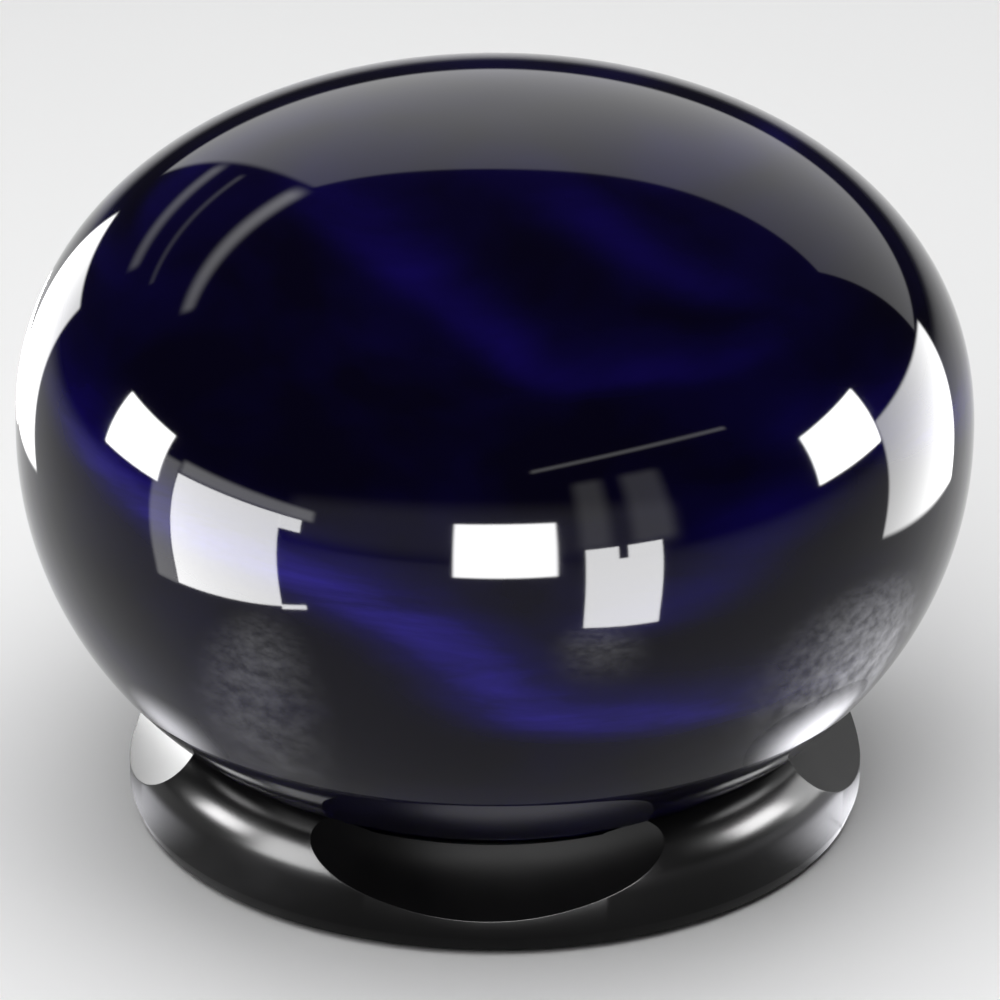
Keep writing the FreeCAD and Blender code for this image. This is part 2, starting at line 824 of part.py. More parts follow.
os.makedirs("parts", exist_ok=True)
for make_node in (
    glass_globe,
    electrode_glass,
    exhaust_tip,
    conductive_wool,
    hv_rod,
    hv_lead,
    stem_bung,
    seat_pad,
    base_ring,
    bottom_cover,
    rubber_feet,
    cover_screws,
    board_screws,
    circuit_board,
    core_halves,
    transformer_bobbin,
    primary_winding,
    hv_winding,
    heat_sink,
    power_transistor,
    transistor_screw,
    bus_capacitor,
    input_capacitor,
    film_capacitor,
    driver_chip,
    resistors,
    microphone,
    inlet_shell,
    inlet_tongue,
    switch_body,
    switch_knob,
):
    save(make_node.__name__, make_node())
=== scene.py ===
"""Looks of the plasma ball: a dark indigo globe on a low black base with four ground facets.

Metres, in the same frame as the CAD. The front facet faces -Y and the switch recess faces +Y.
"""
import json
import math

import bmesh
import bpy
import numpy as np
from mathutils import Matrix, Vector


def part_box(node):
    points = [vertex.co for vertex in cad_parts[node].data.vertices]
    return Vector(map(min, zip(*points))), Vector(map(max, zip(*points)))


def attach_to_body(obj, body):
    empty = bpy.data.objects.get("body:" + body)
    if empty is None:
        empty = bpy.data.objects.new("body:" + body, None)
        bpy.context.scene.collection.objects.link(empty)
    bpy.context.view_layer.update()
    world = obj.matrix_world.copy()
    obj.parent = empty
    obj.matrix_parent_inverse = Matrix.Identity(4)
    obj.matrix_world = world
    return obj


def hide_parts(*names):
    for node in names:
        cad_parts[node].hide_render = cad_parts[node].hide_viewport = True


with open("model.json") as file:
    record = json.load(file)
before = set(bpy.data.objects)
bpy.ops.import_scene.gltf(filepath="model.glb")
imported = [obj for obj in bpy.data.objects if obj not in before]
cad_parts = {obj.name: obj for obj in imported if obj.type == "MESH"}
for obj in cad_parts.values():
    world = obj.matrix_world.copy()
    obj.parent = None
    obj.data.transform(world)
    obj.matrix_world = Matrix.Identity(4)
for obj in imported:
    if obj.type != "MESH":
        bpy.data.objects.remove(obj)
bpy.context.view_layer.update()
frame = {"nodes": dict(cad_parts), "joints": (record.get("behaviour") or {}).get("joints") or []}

scene = bpy.context.scene
MM = 0.001


# ---- sizes read from the frame ------------------------------------------------------------
globe_low, globe_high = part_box("glass_globe")
object_height = globe_high.z
globe_radius = min(globe_high.x, globe_high.y, -globe_low.x, -globe_low.y)
globe_foot_z = globe_low.z
base_bottom_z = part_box("base_ring")[0].z
pad_bottom_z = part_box("seat_pad")[0].z
cover_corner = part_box("bottom_cover")[1]

# ---- the forms that the globe and the base follow --------------------------------------------
globe_equator_z = 64.3 * MM
globe_upper_height = object_height - globe_equator_z
globe_lower_height = 63.5 * MM
globe_upper_exponent = 2.2
globe_lower_exponent = 2.07
globe_wall = 2.5 * MM
globe_mouth_radius = 38.0 * MM
seat_gap = 0.35 * MM

ring_radius = 58.5 * MM
wall_foot_radius = 57.45 * MM
wall_foot_round = (0.17 * MM, 0.10 * MM)
wall_lean_top = (58.44 * MM, 3.15 * MM)
wall_upright_z = 3.45 * MM
shoulder_radius = 9.4 * MM
shoulder_start_z = 9.2 * MM
seat_start = 0.5 * MM
pad_rest_radius = 46.3 * MM
throat_radius = 38.0 * MM
chamber_radius = 52.5 * MM
chamber_roof_z = 10.2 * MM
chamber_bevel = 1.8 * MM
cover_play = 0.2 * MM
cover_depth = 1.8 * MM
facet_wall_z = 6.4 * MM
facet_slope = 0.961
facet_count = 4
facet_edge_depth = 0.03 * MM
facet_edge_width = 0.14 * MM

recess_half_width = 17.0 * MM
recess_floor_z = 4.8 * MM
panel_outer_y = 50.0 * MM
panel_thickness = 2.0 * MM
panel_side = 2.0 * MM
panel_back_y = 53.4 * MM
panel_heights = (3.0 * MM, 10.6 * MM)
opening_play = 0.3 * MM
sound_hole_half = 0.65 * MM
past_the_wall = 80.0 * MM

# ---- the small pieces under and inside the base ----------------------------------------------
foot_circle_radius = 44.0 * MM
foot_radius = 5.0 * MM
foot_top_z = 1.8 * MM

cover_screw_circle_radius = 49.5 * MM
cover_screw_seat_z = 2.4 * MM
cover_screw_head_radius = 2.7 * MM
cover_screw_radius = 1.15 * MM
board_screw_circle_radius = 38.0 * MM
board_screw_seat_z = 6.6 * MM
board_screw_head_radius = 1.9 * MM
board_screw_radius = 0.9 * MM
thread_pitch = 0.6 * MM
thread_depth = 0.14 * MM

wire_radius = 0.22 * MM
wire_turns = 20
strand_radius = 0.05 * MM
strand_count = 620
contact_count = 12
contact_pitch = 0.5 * MM

# ---- colours, as linear red, green and blue --------------------------------------------------
indigo_dark = (0.0014, 0.0008, 0.0060)
# The middle and bright indigo are the plasma's glow, painted into the globe's colour; the dark one
# is the glass's own tint.
painted_glow_middle = (0.0050, 0.0022, 0.072)
painted_glow_bright = (0.020, 0.011, 0.230)
base_black = (0.0012, 0.0011, 0.0013)
base_haze = (0.0024, 0.0022, 0.0026)
aluminium = (0.62, 0.63, 0.65)
steel = (0.42, 0.42, 0.44)


# ---- camera -------------------------------------------------------------------------------
view_distance = 1.152
view_elevation = math.radians(24.89)
view_azimuth = math.radians(1.35)
view_lens = 262.8
aim_height = 50.5 * MM
aim_offset = 0.8 * MM


def make_camera():
    data = bpy.data.cameras.new("camera")
    data.lens = view_lens
    data.sensor_width = 36.0
    data.clip_start = 0.05
    camera = bpy.data.objects.new("camera", data)
    scene.collection.objects.link(camera)
    right = Vector((math.cos(view_azimuth), math.sin(view_azimuth), 0))
    target = Vector((0, 0, aim_height)) + right * aim_offset
    away = Vector((
        math.sin(view_azimuth) * math.cos(view_elevation),
        -math.cos(view_azimuth) * math.cos(view_elevation),
        math.sin(view_elevation),
    ))
    camera.location = target + away * view_distance
    camera.rotation_euler = (-away).to_track_quat("-Z", "Y").to_euler()
    scene.camera = camera


make_camera()


# ---- mesh helpers -------------------------------------------------------------------------
def piece_from(name, mesh_data):
    piece = bpy.data.objects.new(name, mesh_data)
    scene.collection.objects.link(piece)
    return piece


def finish_mesh(bm, name, sharp_angle=32.0):
    """Turns a bmesh into a smooth-shaded object whose sharp edges stay crisp."""
    bmesh.ops.remove_doubles(bm, verts=bm.verts, dist=1e-7)
    bmesh.ops.recalc_face_normals(bm, faces=bm.faces)
    for face in bm.faces:
        face.smooth = True
    limit = math.radians(sharp_angle)
    for edge in bm.edges:
        edge.smooth = len(edge.link_faces) == 2 and edge.calc_face_angle(0) < limit
    mesh_data = bpy.data.meshes.new(name)
    bm.to_mesh(mesh_data)
    bm.free()
    return piece_from(name, mesh_data)


def revolve(bm, profile, segments, closed):
    """Turns (radius, height) points about the vertical axis."""
    rings = []
    for radius, height in profile:
        if radius < 1e-7:
            rings.append([bm.verts.new((0, 0, height))])
            continue
        ring = []
        for index in range(segments):
            angle = 2 * math.pi * (index + 0.5) / segments
            ring.append(bm.verts.new((radius * math.sin(angle), -radius * math.cos(angle), height)))
        rings.append(ring)
    pairs = list(zip(rings, rings[1:]))
    if closed:
        pairs.append((rings[-1], rings[0]))
    for low, high in pairs:
        for index in range(segments):
            after = (index + 1) % segments
            if len(low) == 1:
                bm.faces.new((low[0], high[index], high[after]))
            elif len(high) == 1:
                bm.faces.new((low[index], low[after], high[0]))
            else:
                bm.faces.new((low[index], low[after], high[after], high[index]))


def arc(centre, radius, start_degrees, end_degrees, steps):
    """Points round part of a circle, both ends included."""
    points = []
    for step in range(steps + 1):
        angle = math.radians(start_degrees + (end_degrees - start_degrees) * step / steps)
        points.append((centre[0] + radius * math.cos(angle), centre[1] + radius * math.sin(angle)))
    return points


def loft(name, loops, sharp_angle=32.0):
    """Skins a stack of equal loops of points and caps both ends."""
    bm = bmesh.new()
    rings = [[bm.verts.new(point) for point in loop] for loop in loops]
    count = len(rings[0])
    for low, high in zip(rings, rings[1:]):
        for index in range(count):
            after = (index + 1) % count
            bm.faces.new((low[index], low[after], high[after], high[index]))
    bm.faces.new(rings[0])
    bm.faces.new(rings[-1])
    return finish_mesh(bm, name, sharp_angle)


def place_mesh(piece, matrix):
    """Moves a piece's vertices, so that its object stays at the origin."""
    piece.data.transform(matrix)
    piece.data.update()


# ---- node trees -----------------------------------------------------------------------------
class Tree:
    """A short way to write a node tree. kind_start is what its nodes' type names start with."""

    kind_start = ""

    def feed(self, socket, value):
        """Gives an input a fixed value, or links it to another node's output."""
        if isinstance(value, bpy.types.NodeSocket):
            self.tree.links.new(value, socket)
        else:
            socket.default_value = value

    def node(self, kind, feeds=None, **settings):
        """Adds a node. feeds says what goes into its inputs."""
        made = self.tree.nodes.new(self.kind_start + kind)
        for label, value in settings.items():
            setattr(made, label, value)
        for socket, value in (feeds or {}).items():
            self.feed(made.inputs[socket], value)
        return made


class Growth(Tree):
    """A Geometry Nodes tree with named inputs, for what repeats or follows a path."""

    socket_kinds = {
        int: "NodeSocketInt",
        float: "NodeSocketFloat",
        tuple: "NodeSocketVector",
        bpy.types.Material: "NodeSocketMaterial",
    }

    def __init__(self, name, **inputs):
        self.tree = bpy.data.node_groups.new(name, "GeometryNodeTree")
        interface = self.tree.interface
        for direction in ("INPUT", "OUTPUT"):
            interface.new_socket("Geometry", in_out=direction, socket_type="NodeSocketGeometry")
        self.identifiers = {}
        self.values = inputs
        for label, value in inputs.items():
            kind = next(
                kind for python, kind in self.socket_kinds.items() if isinstance(value, python)
            )
            made = interface.new_socket(self.title(label), in_out="INPUT", socket_type=kind)
            self.identifiers[label] = made.identifier
        self.entry = self.node("NodeGroupInput")

    def title(self, label):
        return label.replace("_", " ").title()

    def given(self, label):
        return self.entry.outputs[self.title(label)]

    def instances(self, points, instance, rotation=None, scale=None):
        """Sets one geometry on each point of another."""
        feeds = {"Points": points, "Instance": instance, "Rotation": rotation, "Scale": scale}
        feeds = {socket: value for socket, value in feeds.items() if value is not None}
        return self.node("GeometryNodeInstanceOnPoints", feeds).outputs["Instances"]

    def tube(self, path, radius, sides):
        """A round wire along a curve."""
        circle = self.node(
            "GeometryNodeCurvePrimitiveCircle", {"Radius": radius, "Resolution": sides}
        )
        wire = self.node(
            "GeometryNodeCurveToMesh", {"Curve": path, "Profile Curve": circle.outputs["Curve"]}
        )
        return wire.outputs["Mesh"]

    def grow(self, geometry, piece):
        """Ends the tree at a geometry, runs it on a piece and keeps the result as its mesh."""
        realized = self.node("GeometryNodeRealizeInstances", {"Geometry": geometry})
        finished = self.node(
            "GeometryNodeSetMaterial",
            {"Geometry": realized.outputs["Geometry"], "Material": self.given("finish")},
        )
        self.node("NodeGroupOutput", {"Geometry": finished.outputs["Geometry"]})
        modifier = piece.modifiers.new("growth", "NODES")
        modifier.node_group = self.tree
        for label, identifier in self.identifiers.items():
            modifier[identifier] = self.values[label]
        keep_evaluated(piece, modifier)
        return piece


def keep_evaluated(piece, modifier):
    """Makes what a modifier gives a piece's plain mesh, and removes the modifier."""
    bpy.context.view_layer.update()
    seen = piece.evaluated_get(bpy.context.evaluated_depsgraph_get())
    result = bpy.data.meshes.new_from_object(seen)
    piece.modifiers.remove(modifier)
    old = piece.data
    piece.data = result
    bpy.data.meshes.remove(old)


def repeated(piece, finish, count, turn=0.0, first_turn=0.0, step=(0.0, 0.0, 0.0)):
    """Repeats a piece about the vertical axis by a turn, or along a straight step."""
    growth = Growth(
        piece.name + "_repeat",
        count=count,
        turn=turn,
        first_turn=first_turn,
        step=step,
        finish=finish,
    )
    index = growth.node("GeometryNodeInputIndex").outputs["Index"]
    moved = growth.node(
        "ShaderNodeVectorMath", {"Vector": growth.given("step"), "Scale": index}, operation="SCALE"
    )
    points = growth.node(
        "GeometryNodePoints", {"Count": growth.given("count"), "Position": moved.outputs["Vector"]}
    )
    turned = growth.node(
        "ShaderNodeMath", {0: index, 1: growth.given("turn")}, operation="MULTIPLY"
    )
    turned = growth.node(
        "ShaderNodeMath", {0: turned.outputs[0], 1: growth.given("first_turn")}, operation="ADD"
    )
    rotation = growth.node("ShaderNodeCombineXYZ", {"Z": turned.outputs[0]}).outputs["Vector"]
    instances = growth.instances(points.outputs["Points"], growth.given("geometry"), rotation)
    return growth.grow(instances, piece)


# ---- globe --------------------------------------------------------------------------------
def globe_point(angle, inset):
    """A point on the globe's outline: angle above the equator, inset from the outer skin."""
    upper = angle >= 0
    exponent = globe_upper_exponent if upper else globe_lower_exponent
    half_height = globe_upper_height if upper else globe_lower_height
    across = max(0.0, math.cos(angle)) ** (2 / exponent)
    rise = math.sin(abs(angle)) ** (2 / exponent)
    height = (half_height - inset) * rise
    return (globe_radius - inset) * across, globe_equator_z + (height if upper else -height)


def globe_curve(inset, lowest_z, steps):
    """Outline from the top of the globe down to a height."""
    rise = (globe_equator_z - lowest_z) / (globe_lower_height - inset)
    lowest_angle = -math.asin(rise ** (globe_lower_exponent / 2))
    upper = [globe_point(math.pi / 2 * (1 - step / steps), inset) for step in range(steps)]
    lower = [globe_point(lowest_angle * step / steps, inset) for step in range(steps + 1)]
    upper[0] = (0.0, upper[0][1])
    return upper + lower


def painted_glow_ridges():
    """The plasma's glow, painted as soft swirls, as lines of (degrees to the right of the front,
    height in mm).

    Each has a half-width in mm and a strength, and repeats three times around the globe.
    """
    upper = [
        (-78, 113.6), (-43, 111.8), (-18, 108.6), (0, 103.2),
        (8, 98.2), (20, 97.6), (34, 96.6), (50, 97.6),
    ]
    upper_crest = [(14, 113.5), (26, 111.6), (36, 105.5), (48, 101.5)]
    lower = [
        (-76, 85.0), (-60, 79.6), (-41, 72.8), (-21, 69.2), (-6, 62.0),
        (4, 50.5), (12, 46.6), (27, 45.0), (46, 44.0),
    ]
    lower_crest = [(8, 63.0), (24, 66.0), (34, 73.0), (46, 75.5)]
    return [
        (upper, 2.1, 0.30),
        (upper_crest, 2.4, 0.20),
        (lower, 4.0, 1.0),
        (lower_crest, 4.0, 0.42),
    ]


def smooth_line(points, count):
    """Evenly spread points on a Catmull-Rom curve through given ones."""
    array = np.array(points, float)
    padded = np.vstack([2 * array[0] - array[1], array, 2 * array[-1] - array[-2]])
    samples = []
    spans = len(array) - 1
    for position in np.linspace(0, spans - 1e-6, count):
        span = int(position)
        t = position - span
        p0, p1, p2, p3 = padded[span:span + 4]
        slope = p2 - p0
        bend = 2 * p0 - 5 * p1 + 4 * p2 - p3
        twist = 3 * p1 - p0 - 3 * p2 + p3
        samples.append(0.5 * (2 * p1 + slope * t + bend * t ** 2 + twist * t ** 3))
    return np.array(samples)


def painted_glow_at(co):
    """How much painted plasma glow each point of the globe carries, from 0 to 1."""
    turn = np.degrees(np.arctan2(co[:, 0], -co[:, 1]))
    height = co[:, 2] / MM
    radius = np.hypot(co[:, 0], co[:, 1]) / MM
    repeat = 120.0
    drawn_out = 2.2
    sharp_below, soft_above = 0.62, 1.5
    line_points = 70
    blunt_ends = 0.6
    mist = np.zeros(len(co))
    for points, half_width, strength in painted_glow_ridges():
        line = smooth_line(points, line_points)
        along = np.linspace(0, 1, line_points)
        fade = np.sin(np.pi * np.clip(along, 0.02, 0.98)) ** blunt_ends
        best = np.zeros(len(co))
        for (ridge_turn, ridge_height), level in zip(line, fade):
            across = np.radians((turn - ridge_turn + repeat / 2) % repeat - repeat / 2) * radius
            rise = height - ridge_height
            spread = np.where(rise < 0, sharp_below, soft_above)
            gap = (across / drawn_out) ** 2 + (rise / spread) ** 2
            best = np.maximum(best, level * np.exp(-gap / half_width ** 2))
        mist = np.maximum(mist, strength * best)
    return mist


def make_globe():
    foot_top_z = globe_foot_z + globe_wall
    skin = globe_curve(0, globe_foot_z, 72)
    lining = globe_curve(globe_wall, foot_top_z, 30)
    profile = skin + [(globe_mouth_radius, globe_foot_z), (globe_mouth_radius, foot_top_z)]
    profile += lining[::-1]
    bm = bmesh.new()
    revolve(bm, profile, 360, closed=False)
    globe = finish_mesh(bm, "dark_globe")
    co = np.array([vertex.co for vertex in globe.data.vertices])
    # The plasma's glow is painted on: each point keeps how much indigo swirl it carries.
    mist = globe.data.attributes.new("mist", "FLOAT", "POINT")
    mist.data.foreach_set("value", painted_glow_at(co).astype(np.float32))
    return globe


# ---- base ---------------------------------------------------------------------------------
def base_profile():
    """Closed outline of the base ring: underside, wall, shoulder, lip, globe seat and chamber."""
    shoulder_centre = (ring_radius - shoulder_radius, shoulder_start_z)
    cover_seat_radius = cover_corner.x + cover_play
    cover_seat_z = cover_corner.z - cover_depth
    outer = [
        (cover_seat_radius, base_bottom_z),
        (wall_foot_radius, base_bottom_z),
        (wall_foot_radius + wall_foot_round[0], base_bottom_z + wall_foot_round[1]),
        wall_lean_top,
        (ring_radius, wall_upright_z),
    ]
    seat = [
        (radius, height)
        for radius, height in globe_curve(-seat_gap, globe_foot_z + seat_start, 60)
        if height < shoulder_start_z + shoulder_radius
    ]
    lip_radius = next(
        radius for radius, height in seat
        if math.hypot(radius - shoulder_centre[0], height - shoulder_centre[1]) < shoulder_radius
    )
    lip_angle = math.degrees(math.acos((lip_radius - shoulder_centre[0]) / shoulder_radius))
    short_of_lip = 0.6
    clear_of_lip = 0.02 * MM
    outer += arc(shoulder_centre, shoulder_radius, 0, lip_angle - short_of_lip, 30)
    seat = [(radius, height) for radius, height in seat if radius < lip_radius - clear_of_lip]
    inner = [
        (pad_rest_radius, globe_foot_z),
        (pad_rest_radius, pad_bottom_z),
        (throat_radius, pad_bottom_z),
        (throat_radius, chamber_roof_z),
        (chamber_radius - chamber_bevel, chamber_roof_z),
        (chamber_radius, chamber_roof_z - chamber_bevel),
        (chamber_radius, cover_seat_z),
        (cover_seat_radius, cover_seat_z),
    ]
    return outer + seat + inner


def facet_normal(index):
    turn = 2 * math.pi * index / facet_count
    outward = Vector((math.sin(turn), -math.cos(turn), 0))
    return (outward * facet_slope + Vector((0, 0, 1))).normalized(), outward


def ordered_loop(edges):
    """Vertices of one closed loop of edges, in order."""
    links = {}
    for edge in edges:
        for vertex in edge.verts:
            links.setdefault(vertex, []).append(edge.other_vert(vertex))
    start = edges[0].verts[0]
    loop = [start]
    previous, current = None, start
    while True:
        following = next(v for v in links[current] if v != previous)
        if following == start:
            return loop
        loop.append(following)
        previous, current = current, following


def grind_facet(bm, index):
    """Cuts one flat facet across the shoulder and rounds its edge with a narrow strip."""
    normal, outward = facet_normal(index)
    on_facet = outward * ring_radius + Vector((0, 0, facet_wall_z))
    cut_point = on_facet - normal * facet_edge_depth
    geometry = bm.verts[:] + bm.edges[:] + bm.faces[:]
    cut = bmesh.ops.bisect_plane(
        bm, geom=geometry, dist=1e-8, plane_co=cut_point, plane_no=normal, clear_outer=True
    )
    edges = [item for item in cut["geom_cut"] if isinstance(item, bmesh.types.BMEdge)]
    loop = ordered_loop(edges)
    places = [vertex.co.copy() for vertex in loop]
    centre = sum(places, Vector()) / len(places)
    count = len(places)
    reach = 4
    strips = [loop]
    inward = []
    for position in range(count):
        tangent = places[(position + reach) % count] - places[position - reach]
        direction = normal.cross(tangent).normalized()
        if direction.dot(centre - places[position]) < 0:
            direction = -direction
        inward.append(direction)
    steps = 4
    corner_share = 0.35
    for step in range(1, steps + 1):
        t = step / steps
        ring = []
        for place, direction in zip(places, inward):
            raised = place + normal * facet_edge_depth
            corner = raised + direction * facet_edge_width * corner_share
            end = raised + direction * facet_edge_width
            rounded = place * (1 - t) ** 2 + corner * 2 * t * (1 - t) + end * t ** 2
            ring.append(bm.verts.new(rounded))
        strips.append(ring)
    for low, high in zip(strips, strips[1:]):
        for position in range(count):
            after = (position + 1) % count
            bm.faces.new((low[position], low[after], high[after], high[position]))
    bm.faces.new(strips[-1])


def box_mesh(name, x_range, y_range, z_range, bevel=0.0):
    bm = bmesh.new()
    bmesh.ops.create_cube(bm, size=1.0)
    for vertex in bm.verts:
        for axis, (low, high) in enumerate((x_range, y_range, z_range)):
            vertex.co[axis] = low if vertex.co[axis] < 0 else high
    if bevel:
        bmesh.ops.bevel(bm, geom=bm.edges[:], offset=bevel, segments=3, affect="EDGES", profile=0.5)
    bmesh.ops.recalc_face_normals(bm, faces=bm.faces)
    mesh_data = bpy.data.meshes.new(name)
    bm.to_mesh(mesh_data)
    bm.free()
    return piece_from(name, mesh_data)


def combine(target, tool, operation):
    """Applies one exact boolean to a mesh and throws the tool away."""
    modifier = target.modifiers.new("shape", "BOOLEAN")
    modifier.operation = operation
    modifier.solver = "EXACT"
    modifier.object = tool
    keep_evaluated(target, modifier)
    bpy.data.objects.remove(tool)


def recess_tools():
    """The rear panel block to add, and the recess and windows to cut."""
    side = recess_half_width + panel_side
    panel_inner_y = panel_outer_y - panel_thickness
    knob_low, knob_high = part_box("switch_knob")
    shell_low, shell_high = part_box("inlet_shell")
    microphone_low, microphone_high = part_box("microphone")
    travel = frame["joints"][0]["range_m"][1]
    play = opening_play
    hole = sound_hole_half
    through = (panel_inner_y - MM, panel_outer_y + MM)
    far_through = (through[0] - 2 * MM, through[1] + 2 * MM)
    middle_z = (knob_low.z + knob_high.z) / 2
    hole_x = (microphone_low.x + microphone_high.x) / 2
    block = box_mesh("panel_block", (-side, side), (panel_inner_y, panel_back_y), panel_heights)
    recess = box_mesh(
        "recess_cut",
        (-recess_half_width, recess_half_width),
        (panel_outer_y, past_the_wall),
        (recess_floor_z, past_the_wall),
        bevel=0.35 * MM,
    )
    slot = box_mesh(
        "slot_cut",
        (knob_low.x - play, knob_high.x + travel + play),
        through,
        (knob_low.z - play, knob_high.z + play),
    )
    inlet = box_mesh(
        "inlet_cut",
        (shell_low.x - play, shell_high.x + play),
        far_through,
        (shell_low.z - play, shell_high.z + play),
        bevel=1.7 * MM,
    )
    sound = box_mesh(
        "sound_cut",
        (hole_x - hole, hole_x + hole),
        through,
        (middle_z - hole, middle_z + hole),
        bevel=0.3 * MM,
    )
    return block, [recess, slot, inlet, sound]


def make_base():
    bm = bmesh.new()
    revolve(bm, base_profile(), 384, closed=True)
    for index in range(facet_count):
        grind_facet(bm, index)
    bmesh.ops.recalc_face_normals(bm, faces=bm.faces)
    base = finish_mesh(bm, "ground_base", 30.0)
    block, cuts = recess_tools()
    combine(base, block, "UNION")
    for cut in cuts:
        combine(base, cut, "DIFFERENCE")
    return crisp_facets(base)


def crisp_facets(base):
    """Keeps each facet's flat face free of its neighbours' shading, in the second material."""
    bm = bmesh.new()
    bm.from_mesh(base.data)
    normals = [facet_normal(index)[0] for index in range(facet_count)]
    limit = math.radians(30)
    lies_flat = 0.99999
    facet_area = 2e-5
    for edge in bm.edges:
        edge.smooth = len(edge.link_faces) == 2 and edge.calc_face_angle(0) < limit
    for face in bm.faces:
        face.smooth = True
        on_facet = any(face.normal.dot(normal) > lies_flat for normal in normals)
        face.material_index = 1 if on_facet else 0
        if on_facet and face.calc_area() > facet_area:
            for edge in face.edges:
                edge.smooth = False
    bm.to_mesh(base.data)
    bm.free()
    return base


# ---- materials ----------------------------------------------------------------------------
class ShaderTree(Tree):
    """What the node trees of materials and lamps share."""

    kind_start = "ShaderNode"

    def spread(self, value, low, high, from_low=0.3, from_high=0.7, **settings):
        """Maps a value, such as a noise, to a range."""
        feeds = {"From Min": from_low, "From Max": from_high, "To Min": low, "To Max": high}
        return self.node("MapRange", {"Value": value, **feeds}, **settings).outputs["Result"]

    def math(self, operation, first, second):
        return self.node("Math", {0: first, 1: second}, operation=operation).outputs["Value"]


class Nodes(ShaderTree):
    """One material's node tree."""

    def __init__(self, name):
        self.material = bpy.data.materials.new(name)
        self.material.use_nodes = True
        self.tree = self.material.node_tree
        self.tree.nodes.clear()
        self.shader = self.node("BsdfPrincipled")
        self.node("OutputMaterial", {"Surface": self.shader.outputs["BSDF"]})
        self.place = self.node("TexCoord").outputs["Object"]

    def scaled(self, scale):
        return self.node("Mapping", {"Vector": self.place, "Scale": scale}).outputs["Vector"]

    def split(self):
        """The place's x, y and z outputs."""
        return self.node("SeparateXYZ", {"Vector": self.place}).outputs

    def noise(self, scale, detail=4.0, roughness=0.55, vector=None, distortion=0.0):
        feeds = {"Scale": scale, "Detail": detail, "Roughness": roughness, "Distortion": distortion}
        return self.node("TexNoise", {"Vector": vector or self.place, **feeds}).outputs["Fac"]

    def length(self, vector):
        return self.node("VectorMath", {0: vector}, operation="LENGTH").outputs["Value"]

    def blend(self, amount, dark, light):
        """Mixes two colours, each fixed or an output. 6 and 7 are the colour inputs."""
        feeds = {"Factor": amount, 6: self.opaque(dark), 7: self.opaque(light)}
        return self.node("Mix", feeds, data_type="RGBA").outputs[2]

    def opaque(self, value):
        return (*value, 1.0) if isinstance(value, tuple) else value

    def bump(self, value, distance, strength=1.0):
        made = self.node("Bump", {"Height": value, "Distance": distance, "Strength": strength})
        self.set(Normal=made.outputs["Normal"])

    def set(self, **values):
        for name, value in values.items():
            self.feed(self.shader.inputs[name.replace("_", " ")], self.opaque(value))


def indigo_glass():
    """Nearly black glossy glass with the plasma's glow painted on as soft indigo swirls drawn out
    into streaks.
    """
    nodes = Nodes("indigo_glass")
    # The plasma's glow is painted into the base colour: the swirls from the globe's attribute,
    # streaked, plus faint clouds.
    mist = nodes.node("Attribute", attribute_name="mist").outputs["Fac"]
    streaks = nodes.noise(1.0, 5.0, 0.6, nodes.scaled((26, 26, 150)), 0.6)
    clouds = nodes.noise(1.0, 3.0, 0.5, nodes.scaled((30, 30, 55)), 0.3)
    streaked = nodes.math("MULTIPLY", mist, nodes.spread(streaks, 0.45, 1.25))
    faint = nodes.spread(clouds, 0.0, 0.11, 0.45, 0.75)
    amount = nodes.math("MINIMUM", nodes.math("ADD", streaked, faint), 1.0)
    ramp = nodes.node("ValToRGB", {"Fac": amount})
    colours = ramp.color_ramp.elements
    colours[0].color = (*indigo_dark, 1)
    colours[1].color = (*painted_glow_bright, 1)
    colours.new(0.45).color = (*painted_glow_middle, 1)
    smudges = nodes.noise(60.0, 3.0)
    nodes.set(
        Base_Color=ramp.outputs["Color"],
        Roughness=nodes.spread(smudges, 0.03, 0.05),
        IOR=1.5,
        Specular_IOR_Level=0.17,
    )
    return nodes.material


def black_gloss(name, smoothest, roughest, specular):
    """Black moulded plastic, polished to a roughness between the two given."""
    nodes = Nodes(name)
    haze = nodes.noise(45.0, 4.0)
    nodes.set(
        Base_Color=nodes.blend(haze, base_black, base_haze),
        Roughness=nodes.spread(haze, smoothest, roughest),
        IOR=1.5,
        Specular_IOR_Level=specular,
    )
    nodes.bump(nodes.noise(2600.0, 2.0), 0.01 * MM, 0.25)
    return nodes.material


def plain(name, dark, light, roughness, patches=45.0, grain=1800.0, depth=0.010, **extras):
    """Slow patches of tone and gloss with a fine surface grain, whose depth is in mm."""
    nodes = Nodes(name)
    patch = nodes.noise(patches, 4.0)
    fine = nodes.noise(grain, 3.0, 0.6)
    uneven = nodes.math("MULTIPLY", patch, nodes.spread(fine, 0.8, 1.2))
    nodes.set(
        Base_Color=nodes.blend(nodes.spread(patch, 0.0, 1.0), dark, light),
        Roughness=nodes.spread(uneven, *roughness, 0.25, 0.65),
        **extras,
    )
    nodes.bump(fine, depth * MM, 0.6)
    return nodes.material


def drawn_metal(name, tone, along):
    """Metal brushed along one axis: 0 for X, 1 for Y, 2 for Z."""
    nodes = Nodes(name)
    scale = [2600.0, 2600.0, 2600.0]
    scale[along] = 60.0
    strokes = nodes.noise(1.0, 3.0, 0.6, nodes.scaled(tuple(scale)))
    patch = nodes.noise(70.0, 3.0)
    dark = tuple(0.78 * channel for channel in tone)
    nodes.set(
        Base_Color=nodes.blend(nodes.spread(strokes, 0.0, 1.0), dark, tone),
        Roughness=nodes.math(
            "ADD", nodes.spread(strokes, 0.20, 0.34), nodes.spread(patch, 0.0, 0.08)
        ),
        Metallic=1.0,
    )
    nodes.bump(strokes, 0.004 * MM, 0.5)
    return nodes.material


